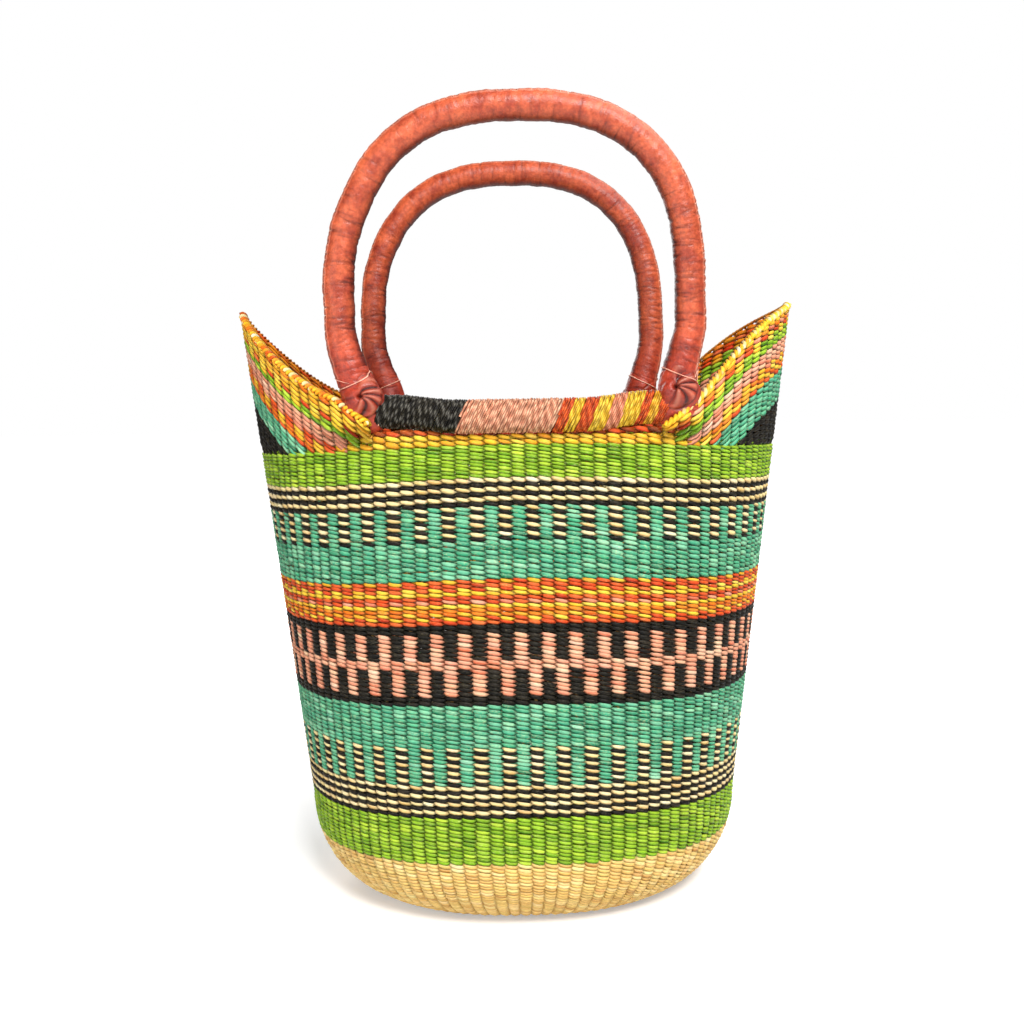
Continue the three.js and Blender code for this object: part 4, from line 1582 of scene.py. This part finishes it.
@dataclass(frozen=True)
class Gather:
    """How the leather is gathered at a foot: its lumps, its neck, its rosette and its creases."""

    lumps: tuple[Lump, ...] = (
        Lump((-0.0012, 0.0, 0.001), (0.0158, 0.0128, 0.0142)),
        Lump((0.0010, -0.0085, 0.0095), (0.0128, 0.0068, 0.0108)),
        Lump((0.0, 0.0010, -0.0060), (0.0088, 0.0100, 0.0080), 0.0050),
    )
    lump_segments: int = 40
    lump_rings: int = 24
    neck_sides: int = 48
    neck_heights: Pair = (0.344, 0.3800)
    neck_levels: int = 7
    neck_radii: Pair = (0.0130, 0.0098)
    neck_taper: Pair = (0.344, 0.376)
    neck_overlap: float = 1.12
    voxel: float = 0.00062
    softening: float = 0.5
    soften_passes: int = 14
    left_pit: Pair = (-0.0015, 0.0109)
    right_pit: Pair = (-0.0033, 0.0138)
    front_start: float = 0.45
    swirl: float = 55
    right_swirl: float = 0.6
    fan_turn: float = 0.15
    fan_edges: Pair = (-0.55, 0.3)
    folds: float = 4.5
    fold_bends: Pair = (0.7, 0.5)
    fold_start: Pair = (0.0008, 0.0030)
    fold_end: Pair = (0.0115, 0.0165)
    fold_depth: float = 0.0021
    fold_power: float = 0.8
    fold_middle: float = 0.55
    fold_width: float = 0.38
    pit_radius: float = 0.0019
    pit_depth: float = 0.0046
    ring_radius: float = 0.0150
    ring_width: float = 0.0010
    ring_depth: float = 0.0009
    # Painted shade in the folds, the ring groove, the fold window and the creases.
    fold_shade: float = 0.95
    ring_shade: float = 0.6
    window_shade: float = 0.25
    ridge_wear: float = 0.30
    creases: int = 40
    crease_heights: Pair = (-0.010, 0.042)
    crease_slope: float = 0.004
    crease_widths: Pair = (0.0004, 0.0009)
    crease_reaches: Pair = (0.3, 0.8)
    crease_depth: float = 0.0006
    crease_shade: float = 0.6
    crease_hush: float = 0.8


@dataclass(frozen=True)
class Thong:
    """The thin thong round a foot: the heights of its ring, and its tails as angle and height."""

    ring_height: float = 0.0205
    left_tilt: float = 0.0060
    right_tilt: float = -0.0050
    ring_points: int = 48
    ring_lift: float = 0.00022
    ring_radius: float = 0.00062
    ring_flat: float = 0.55
    left_tails: tuple = (((3.5, 0.0235), (2.1, 0.0190)), ((0.75, -0.0005), (0.62, -0.0085)))
    right_tails: tuple = (((0.55, 0.0190), (0.42, 0.0380)), ((0.30, 0.0170), (0.22, 0.0330)))
    tail_points: int = 16
    tail_lift: float = 0.0004
    tail_radius: float = 0.00075
    tail_taper: float = 0.6
    tail_flat: float = 0.4
    sides: int = 6
    leg_shift: float = 0.0012
    feel_from: float = 0.04
    usual_radius: float = 0.0122


@dataclass
class Handle:
    """A handle: twisted grass in a sewn leather sleeve, gathered and tied round a roll's ends."""

    name: str
    turned: int
    shift: float
    straw: bpy.types.Material
    hide: bpy.types.Material
    lace: bpy.types.Material
    seam_angle: float
    stray: float = 0.0
    bow: float = 0.0
    seed: int = 21
    lean: float = math.radians(3)
    arch_half_span: float = 0.1115
    arch_rise: float = 0.121
    spring_height: float = 0.410
    arch_power: float = 2.5
    foot_half_span: float = 0.101
    foot_bend: Pair = (0.340, 0.395)
    leg_start: float = 0.352
    leg_points: int = 60
    arch_points: int = 400
    stray_start: Pair = (0.336, 0.366)
    stray_end: Pair = (0.425, 0.490)
    stray_spread: float = 0.45
    stray_inwards: float = 1.20
    bow_start: Pair = (0.352, 0.392)
    bow_end: Pair = (0.440, 0.500)
    red_heights: Pair = (0.352, 0.412)
    red_share: float = 0.85
    radius: float = 0.0100
    sections: int = 580
    core_sections: int = 160
    core_length: float = 0.56
    core_strands: int = 3
    core_twist: float = 0.06
    core_offset: float = 0.0036
    core_radius: float = 0.0034
    core_sides: int = 8
    core_shade: str = "c9a765"
    core_pale: float = 0.3
    sleeve: Sleeve = Sleeve()
    lacing: Lacing = Lacing()
    gather: Gather = Gather()
    thong: Thong = Thong()

    def __post_init__(self) -> None:
        """Finds the place of the handle's own frame."""
        way = 1.0 if self.turned else -1.0
        self.place = (
            Matrix.Translation((self.shift, way * AXIS_OFFSET, AXIS_HEIGHT))
            @ Matrix.Rotation(math.pi * self.turned, 4, "Z") @ Matrix.Rotation(self.lean, 4, "X")
        )
        self.random = np.random.default_rng(self.seed + self.turned)
        self.body = f"{self.name}_handle"

    def set_in_place(self, points: Array) -> Array:
        """Brings points from the handle's own frame to the basket's."""
        turn = np.array(self.place.to_3x3())
        return points @ turn.T + np.array(self.place.translation)

    def half_span(self, height: Array) -> Array:
        """Gives half the distance between the legs at a height."""
        return mix(self.foot_half_span, self.arch_half_span, smooth(height, *self.foot_bend))

    def redness(self, height: Array) -> Array:
        """Says how much redder the leather is at a height, near the feet."""
        return self.red_share * (1 - smooth(height, *self.red_heights))

    def pulled(self, height: Array, way: Array | int) -> Array:
        """Says how far a leg is pulled out of its even shape.

        Args:
            height: The height above the floor.
            way: -1 for the left leg, 1 for the right one.

        Returns:
            The shift to the right.
        """
        near = smooth(height, *self.stray_start) * (1 - smooth(height, *self.stray_end))
        swung = smooth(height, *self.bow_start) * (1 - smooth(height, *self.bow_end))
        stray = self.stray * near * (self.stray_spread * way - self.stray_inwards)
        return stray + self.bow * swung * (np.asarray(way) > 0)

    def line(self, count: int) -> Array:
        """Gives the middle line from the left foot over the arch to the right foot.

        Args:
            count: How many points.

        Returns:
            The points, evenly spaced, in the handle's own frame.
        """
        height = np.linspace(self.leg_start, self.spring_height, self.leg_points)[:-1]
        leg = np.stack([self.half_span(height), 0 * height, height - AXIS_HEIGHT], axis=-1)
        angle = np.linspace(0, math.pi, self.arch_points)
        across, power = np.cos(angle), 2 / self.arch_power
        x = self.arch_half_span * np.sign(across) * np.abs(across) ** power
        z = self.spring_height + self.arch_rise * np.maximum(np.sin(angle), 0) ** power
        arch = np.stack([-x, 0 * x, z - AXIS_HEIGHT], axis=-1)
        way = np.concatenate([leg * (-1, 1, 1), arch, leg[::-1]])
        way[:, 0] += self.pulled(way[:, 2] + AXIS_HEIGHT, np.sign(way[:, 0]))
        walked = walk(way)
        return read_off(np.linspace(0, walked[-1], count), walked, way)

    def outward(self, line: Array, reach: int = 4) -> Array:
        """Gives the direction away from the arch's middle at each point of the middle line.

        Args:
            line: The middle line.
            reach: Over how many neighbours on each side the direction is evened out.

        Returns:
            The directions, each one long.
        """
        tangent = unit(np.gradient(line, axis=0))
        kernel = np.ones(2 * reach + 1) / (2 * reach + 1)
        for k in range(3):
            padded = np.pad(tangent[:, k], reach, mode="edge")
            tangent[:, k] = np.convolve(padded, kernel, mode="valid")
        tangent = unit(tangent)
        return np.stack([-tangent[:, 2], 0 * tangent[:, 0], tangent[:, 0]], axis=-1)

    def build(self) -> None:
        """Makes the core, the sleeve, its lacing, the feet and the thongs."""
        self.twist_core()
        self.sew_sleeve()
        self.lace_seam()
        for side, way in (("left", -1), ("right", 1)):
            self.tie_thong(side, way, self.gather_foot(side, way))

    def twist_core(self) -> None:
        """Twists the grass inside the leather."""
        lay, line = Lay(), self.line(self.core_sections)
        outward = self.outward(line)
        walked = np.linspace(0, self.core_length, len(line))
        shade = np.array([[*linear(self.core_shade), self.core_pale]])
        marks = np.repeat(shade, len(line), axis=0)
        for strand in range(self.core_strands):
            turn = strand * 2 * math.pi / self.core_strands
            away = spokes(walked / self.core_twist * 2 * math.pi + turn, outward)
            points = self.set_in_place(line + away * self.core_offset)
            rings = tube_rings(points, self.core_radius, self.core_sides)
            lay.add_strand(rings, marks, walked / STITCH_LENGTH, False, 1 / self.core_strands)
        finish_piece(
            lay.mesh(f"{self.name}_grass_rope"), self.straw, self.body, "twisted_grass",
            f"{self.name}_handle_core",
        )

    def crease(self, walked: Array, around: Array) -> Array:
        """Draws the creases of the sleeve.

        Args:
            walked: How far along the sleeve each point is.
            around: Its angle round the sleeve.

        Returns:
            How deep each point lies in a crease, from 0 to 1.
        """
        sleeve, random = self.sleeve, self.random
        fold = np.zeros(np.broadcast(walked, around).shape)
        for _ in range(sleeve.creases):
            on_leg = random.random() < sleeve.leg_share
            place = random.uniform(*(sleeve.leg_places if on_leg else sleeve.arch_places))
            place = place if random.random() < 0.5 else sleeve.length - place
            aside = apart(around, random.uniform(0, 2 * math.pi))
            wide = random.uniform(*sleeve.crease_widths)
            reach = random.uniform(*sleeve.crease_reaches)
            deep = random.uniform(*sleeve.crease_strengths)
            deep *= 1.0 if on_leg else sleeve.arch_strength
            off = walked - place - random.normal(0, sleeve.crease_slope) * aside
            off = off - sleeve.crease_bow * aside**2
            fold = np.maximum(fold, deep * bell(off / wide, aside / reach))
        return fold

    def sew_sleeve(self) -> None:
        """Makes the leather sleeve with its creases, flats and seam, with painted shade in its
        creases, seam groove, sides and underside.
        """
        sleeve, line = self.sleeve, self.line(self.sections)
        height = (line[:, 2] + AXIS_HEIGHT)[:, None]
        walked = np.linspace(0, sleeve.length, self.sections)[:, None]
        edge = sleeve.seam_half_angle
        angle = np.concatenate([
            np.linspace(-edge, edge, sleeve.near_sides),
            np.linspace(edge, 2 * math.pi - edge, sleeve.far_sides)[1:-1],
        ])[None, :]
        around = angle + self.seam_angle
        inwards = np.mod(around, 2 * math.pi) - math.pi
        swell = sleeve.foot_swell * (1 - smooth(height, *sleeve.swell_heights))
        radius = self.radius + swell + 0 * angle
        for depth, length in sleeve.ripples:
            radius = radius + depth * ripple(self.random, walked, around, length)
        flats = np.abs(np.sin(walked * math.pi / sleeve.flat_length)) ** 3
        radius = radius - sleeve.flat_depth * bell(inwards / sleeve.flat_width) * flats
        fold = self.crease(walked, around)
        by_seam = np.abs(angle) < sleeve.seam_limit
        seam = np.where(by_seam, bell(angle * self.radius / sleeve.seam_width), 0.0)
        wobble = sleeve.wobble * np.sin(walked * 2 * math.pi / sleeve.wobble_length)
        off_lip = np.abs(angle) * self.radius - sleeve.lip_offset - wobble
        lips = np.where(by_seam, bell(off_lip / sleeve.seam_width), 0.0)
        radius = radius - sleeve.crease_depth * fold - sleeve.seam_depth * seam
        radius = radius + sleeve.lip_rise * lips
        away = spokes(around, self.outward(line)[:, None])
        points = self.set_in_place(line[:, None] + radius[..., None] * away)
        rim = smooth(np.abs(np.cos(around)) + 0 * walked, sleeve.rim_start, 1.0)
        under = bell(inwards / sleeve.under_width)
        # Painted shade: darker in the creases, the seam groove, on the sides seen edge-on and
        # underneath; the lips are lighter where rubbed, and the leather redder near the feet.
        dark = sleeve.crease_shade * fold + sleeve.seam_shade * seam
        dark = dark + sleeve.rim_shade * rim + sleeve.under_shade * under
        marks = np.zeros((*radius.shape, 4))
        marks[..., 0] = np.clip(dark, 0, 1)
        marks[..., 1] = np.clip(sleeve.lip_wear * lips, 0, 1)
        marks[..., 2] = self.redness(height)
        lay = Lay()
        lay.add_strand(points, marks, walked[:, 0] / STITCH_LENGTH, False, 1.0)
        finish_piece(
            lay.mesh(f"{self.name}_leather_sleeve", "shade_and_wear"), self.hide, self.body, "red_leather",
            f"{self.name}_handle_leather",
        )

    def lace_seam(self) -> None:
        """Sews the seam with a thin lace, stitch by stitch."""
        lacing, length = self.lacing, self.sleeve.length
        lay, line, places = Lay(), self.line(self.sections), np.arange(self.sections)
        outward = self.outward(line)
        aside = np.linspace(-lacing.half_angle, lacing.half_angle, lacing.points)
        dip = lacing.dip * (np.abs(aside) / lacing.half_angle) ** 3
        deep = self.radius + lacing.lift - dip
        for k in range(lacing.stitches):
            place = lacing.margin + (length - 2 * lacing.margin) * k / (lacing.stitches - 1)
            start = place / length * (self.sections - 1)
            at = start + aside / lacing.half_angle * lacing.slope
            away = spokes(self.seam_angle + aside, read_off(at, places, outward))
            points = self.set_in_place(read_off(at, places, line) + deep[:, None] * away)
            marks = np.zeros((lacing.points, 4))
            marks[:, 0] = self.random.uniform(*lacing.shades)
            rings = tube_rings(points, lacing.radius, lacing.sides)
            steps = np.arange(float(lacing.points))
            lay.add_strand(rings, marks, steps, False, 1 / lacing.stitches)
        finish_piece(
            lay.mesh(f"{self.name}_seam_lacing", "shade_and_wear"), self.lace, self.body, "red_leather",
            f"{self.name}_handle_seam",
        )

    def gather_foot(self, side: str, way: int) -> bpy.types.Object:
        """Gathers the leather round the roll's end, with its rosette of folds.

        Args:
            side: Left or right, seen from outside the basket.
            way: -1 for left, 1 for right.

        Returns:
            The foot.
        """
        gather, parts = self.gather, []
        bpy.ops.object.select_all(action="DESELECT")
        middle = way * self.foot_half_span
        for lump in gather.lumps:
            x, y, z = lump.place
            place = (middle + x - lump.inwards * way, y, z)
            bpy.ops.mesh.primitive_uv_sphere_add(
                segments=gather.lump_segments, ring_count=gather.lump_rings, radius=1,
                location=place,
            )
            parts.append(bpy.context.object)
            bpy.ops.object.mode_set(mode="EDIT")
            bpy.ops.transform.resize(value=lump.size)
            bpy.ops.object.mode_set(mode="OBJECT")
        levels = np.linspace(*gather.neck_heights, gather.neck_levels)
        legs = way * self.half_span(levels) + self.pulled(levels, way)
        wide = mix(*gather.neck_radii, smooth(levels, *gather.neck_taper))
        for k, (low, high) in enumerate(zip(levels, levels[1:])):
            bpy.ops.mesh.primitive_cone_add(
                vertices=gather.neck_sides, radius1=wide[k], radius2=wide[k + 1],
                depth=(high - low) * gather.neck_overlap,
                location=((legs[k] + legs[k + 1]) / 2, 0, (low + high) / 2 - AXIS_HEIGHT),
                rotation=(0, math.atan((legs[k + 1] - legs[k]) / (high - low)), 0),
            )
            parts.append(bpy.context.object)
        for part in parts:
            part.select_set(True)
        bpy.context.view_layer.objects.active = parts[0]
        bpy.ops.object.join()
        foot = bpy.context.object
        foot.name = f"{self.name}_{side}_gathered_foot"
        bpy.ops.object.transform_apply(location=True, rotation=True, scale=True)
        shrink = foot.modifiers.new("one_skin", "REMESH")
        shrink.mode, shrink.voxel_size = "VOXEL", gather.voxel
        bpy.ops.object.modifier_apply(modifier=shrink.name)
        soften = foot.modifiers.new("soften", "SMOOTH")
        soften.factor, soften.iterations = gather.softening, gather.soften_passes
        bpy.ops.object.modifier_apply(modifier=soften.name)
        bpy.ops.object.shade_smooth()
        self.fold_foot(foot, way)
        finish_piece(
            foot, self.hide, self.body, "red_leather", f"{self.name}_{side}_cuff",
            f"{self.name}_{side}_knot",
        )
        return foot

    def fold_foot(self, foot: bpy.types.Object, way: int) -> None:
        """Presses the folds into a foot, paints shade into its folds, pit, ring groove and creases,
        and brings it to its place.

        Args:
            foot: The foot, in the handle's own frame.
            way: -1 for left, 1 for right.
        """
        gather, mesh = self.gather, foot.data
        count, middle = len(mesh.vertices), way * self.foot_half_span
        points, normals = np.empty(count * 3), np.empty(count * 3)
        mesh.vertices.foreach_get("co", points)
        mesh.vertices.foreach_get("normal", normals)
        points, normals = points.reshape(-1, 3), normals.reshape(-1, 3)
        pit_at = gather.left_pit if way < 0 else gather.right_pit
        dx, dz = points[:, 0] - middle - pit_at[0], points[:, 2] - pit_at[1]
        away, angle = np.hypot(dx, dz), np.arctan2(dz, dx)
        front = smooth(-normals[:, 1], 0.0, gather.front_start)
        swirl = angle + gather.swirl * away * (1 if way < 0 else gather.right_swirl)
        fan = smooth(np.cos(angle + gather.fan_turn), *gather.fan_edges)
        bend = gather.fold_bends
        wave = swirl * gather.folds + bend[0] * np.sin(angle * 3) + bend[1] * np.sin(angle * 2)
        wave = np.abs(np.sin(wave))
        window = smooth(away, *gather.fold_start) * (1 - smooth(away, *gather.fold_end))
        window = window * fan * front
        pit = bell(away / gather.pit_radius) * front
        ring = bell((away - gather.ring_radius) / gather.ring_width) * front * fan
        move = window * gather.fold_depth * (wave**gather.fold_power - gather.fold_middle)
        move = move - gather.pit_depth * pit - gather.ring_depth * ring
        # Painted shade: darker in the folds' hollows, the pit, the ring groove and the whole fold
        # window, and in the creases below.
        fold = window * bell(wave / gather.fold_width) * gather.fold_shade + pit
        fold = fold + gather.ring_shade * ring + gather.window_shade * window
        around = np.arctan2(points[:, 1], points[:, 0] - middle)
        for _ in range(gather.creases):
            place = self.random.uniform(*gather.crease_heights)
            aside = apart(around, self.random.uniform(-math.pi, math.pi))
            off = points[:, 2] - place - self.random.normal(0, gather.crease_slope) * aside
            wide = self.random.uniform(*gather.crease_widths)
            reach = self.random.uniform(*gather.crease_reaches)
            crease = bell(off / wide, aside / reach) * (1 - gather.crease_hush * window)
            move = move - gather.crease_depth * crease
            fold = np.maximum(fold, gather.crease_shade * crease)
        points = points + normals * move[:, None]
        mesh.vertices.foreach_set("co", self.set_in_place(points).reshape(-1))
        marks = np.zeros((count, 4))
        marks[:, 0] = np.clip(fold, 0, 1)
        marks[:, 1] = gather.ridge_wear * window * wave**6
        marks[:, 2] = self.redness(points[:, 2] + AXIS_HEIGHT)
        layer = mesh.color_attributes.new("shade_and_wear", "FLOAT_COLOR", "POINT")
        layer.data.foreach_set("color", marks.reshape(-1))
        mesh.update()

    def tie_thong(self, side: str, way: int, foot: bpy.types.Object) -> None:
        """Ties a thin thong round the top of a foot and leaves its tails.

        Args:
            side: Left or right.
            way: -1 for left, 1 for right.
            foot: The foot that it lies on.
        """
        bpy.context.view_layer.update()
        lay, thong = Lay(), self.thong
        axis = np.array((way * (self.foot_half_span + thong.leg_shift), 0.0, 0.0))

        def on_foot(angle: Array, height: Array, lift: float) -> Array:
            """Finds the leather's surface all round the leg, so that a thong lies on it.

            Args:
                angle: The direction from the leg's middle at each point.
                height: The height of each point above the swing axis.
                lift: How far the points lie above the leather.

            Returns:
                The points.
            """
            found = []
            for turn, level in zip(angle, height):
                inside = axis + (0, 0, level)
                out = np.array((math.cos(turn), -math.sin(turn), 0.0))
                start = self.set_in_place((inside + out * thong.feel_from)[None])[0]
                end = self.set_in_place(inside[None])[0]
                aim = Vector(end - start).normalized()
                hit, spot, _, _ = foot.ray_cast(Vector(start), aim, distance=thong.feel_from)
                back = unit(start - end)
                spot = np.array(spot) if hit else end + back * thong.usual_radius
                found.append(spot + back * lift)
            return np.array(found)

        loop = np.linspace(0, 2 * math.pi, thong.ring_points + 1)[:-1]
        tilt = thong.left_tilt if way < 0 else thong.right_tilt
        ring = on_foot(loop, thong.ring_height + tilt * np.cos(loop), thong.ring_lift)
        closed = np.concatenate([ring, ring[:1]])
        rings = tube_rings(closed, thong.ring_radius, thong.sides, thong.ring_flat, (0, 0, 1))[:-1]
        lay.add_strand(rings, np.zeros((len(loop), 4)), np.arange(float(len(loop))), True, 1 / 4)
        share = np.linspace(0, 1, thong.tail_points)
        radius = thong.tail_radius * (1 - thong.tail_taper * share)
        for start, end in thong.left_tails if way < 0 else thong.right_tails:
            angle, height = (mix(low, high, share) for low, high in zip(start, end))
            strip = on_foot(angle, height, thong.tail_lift)
            rings = tube_rings(strip, radius, thong.sides, thong.tail_flat, (0, 0, 1))
            marks = np.zeros((thong.tail_points, 4))
            lay.add_strand(rings, marks, share * thong.tail_points, False, 1 / 4)
        finish_piece(
            lay.mesh(f"{self.name}_{side}_tie", "shade_and_wear"), self.lace, self.body, "pale_leather",
            f"{self.name}_{side}_thong",
        )


@dataclass(frozen=True)
class Studio:
    """The floor, the lights and the camera of the photograph."""

    eye_height: float = 0.336
    eye_distance: float = 0.780
    focal_pixels: float = 1071.0
    image_pixels: float = 1024.0
    axis_pixel: float = 515.0
    horizon_pixel: float = 411.0
    sensor_width: float = 36.0
    roll: float = 0.018
    ambient: float = 0.15
    floor_glow: float = 0.36
    glow_distances: Pair = (0.20, 0.6)
    aim_height: float = 0.2

    def place_camera(self) -> None:
        """Puts the camera where the photograph was taken from."""
        data = bpy.data.cameras.new("camera")
        camera = bpy.data.objects.new("camera", data)
        bpy.context.scene.collection.objects.link(camera)
        data.sensor_fit = "HORIZONTAL"
        data.sensor_width = self.sensor_width
        data.lens = data.sensor_width * self.focal_pixels / self.image_pixels
        across = (self.image_pixels / 2 - self.axis_pixel) / self.image_pixels
        down = (self.horizon_pixel - self.image_pixels / 2) / self.image_pixels
        turn = Matrix.Rotation(-self.roll, 3, "Z")
        shift = turn @ Vector((across, down, 0))
        data.shift_x, data.shift_y = shift.x, shift.y
        look = Matrix.Rotation(math.pi / 2, 4, "X") @ Matrix.Rotation(-self.roll, 4, "Z")
        camera.matrix_world = Matrix.Translation((0, -self.eye_distance, self.eye_height)) @ look
        data.clip_start = 0.01
        bpy.context.scene.camera = camera

    def lay_floor(self) -> None:
        """Lays a white floor that keeps the object's shadow."""
        bpy.ops.object.select_all(action="DESELECT")
        bpy.ops.mesh.primitive_plane_add(size=40, location=(0, 0, 0))
        floor = bpy.context.object
        floor.name = "floor"
        material = bpy.data.materials.new("floor")
        material.use_nodes = True
        sheet = NodeSheet(material.node_tree)
        shader = material.node_tree.nodes["Principled BSDF"].inputs
        for socket, value in (
            ("Base Color", (0.9, 0.9, 0.9, 1)), ("Roughness", 1.0), ("Specular IOR Level", 0.0),
            ("Emission Color", (1, 1, 1, 1)),
        ):
            shader[socket].default_value = value
        path = sheet.add("LightPath")
        place = sheet.add("TexCoord").outputs["Object"]
        away = sheet.add("VectorMath", operation="LENGTH", _0=place).outputs["Value"]
        level = sheet.level(away, *self.glow_distances, self.floor_glow, 1.0)
        glow = sheet.times(path.outputs["Is Camera Ray"], level)
        sheet.join(glow, shader["Emission Strength"])
        floor.data.materials.append(material)

    def light(self) -> None:
        """Hangs the soft lights and fills the room with even light."""
        for name, place, size, power in (
            ("key_light", (0.45, -1.45, 1.55), 0.7, 52.0),
            ("fill_light", (-1.3, -1.5, 0.55), 1.2, 14.5),
            ("back_light", (-0.6, 1.7, 1.0), 1.2, 16.0),
            ("top_light", (0.9, 0.1, 1.7), 0.9, 14.0),
        ):
            data = bpy.data.lights.new(name, "AREA")
            data.size = size
            data.energy = power
            lamp = bpy.data.objects.new(name, data)
            lamp.location = place
            aim = Vector((0, 0, self.aim_height)) - Vector(place)
            lamp.rotation_euler = aim.to_track_quat("-Z", "Y").to_euler()
            bpy.context.scene.collection.objects.link(lamp)
        world = bpy.data.worlds.new("studio")
        bpy.context.scene.world = world
        world.use_nodes = True
        sheet = NodeSheet(world.node_tree)
        background = world.node_tree.nodes["Background"]
        background.inputs["Color"].default_value = (1, 1, 1, 1)
        path = sheet.add("LightPath")
        level = sheet.level(path.outputs["Is Camera Ray"], 0, 1, self.ambient, 1.0)
        sheet.join(level, background.inputs["Strength"])

    def build(self) -> None:
        """Sets up the whole studio."""
        self.place_camera()
        self.lay_floor()
        self.light()
        bpy.context.scene.view_settings.view_transform = "Standard"


def main() -> None:
    """Builds the studio and the basket, piece by piece."""
    logging.basicConfig(level=logging.INFO, format="%(name)s: %(message)s")
    Studio().build()
    loom = Loom()
    straw = Straw().make()
    glossy = Straw("wound_straw", bump=0.3, shine=0.12, matt=0.40).make()
    hide = Hide().make()
    # The rear handle takes a darker copy of the front leather, with less shine.
    darker_hide = Hide("darker_red_hide", dark="8a2d18", light="bd5430", shine=0.36).make()
    lace = Hide("pale_lace", "d9937a", "f0b8a0", "8a3a28", bump=0.3, shine=0.3).make()
    Body(loom, straw).build()
    for side, fold in (("right", STAKES // 4), ("left", STAKES * 3 // 4)):
        Ear(side, fold, loom, straw).build()
    for name, turned, shift, leather, seam_angle, stray, bow in (
        ("front", 0, 0.003, hide, 0.52, 0.0026, 0.0),
        ("rear", 1, -0.0015, darker_hide, -0.50, 0.0, 0.0022),
    ):
        RimRoll(name, turned, shift, straw, glossy).build()
        Handle(name, turned, shift, straw, leather, lace, seam_angle, stray, bow).build()


if __name__ == "__main__":
    main()
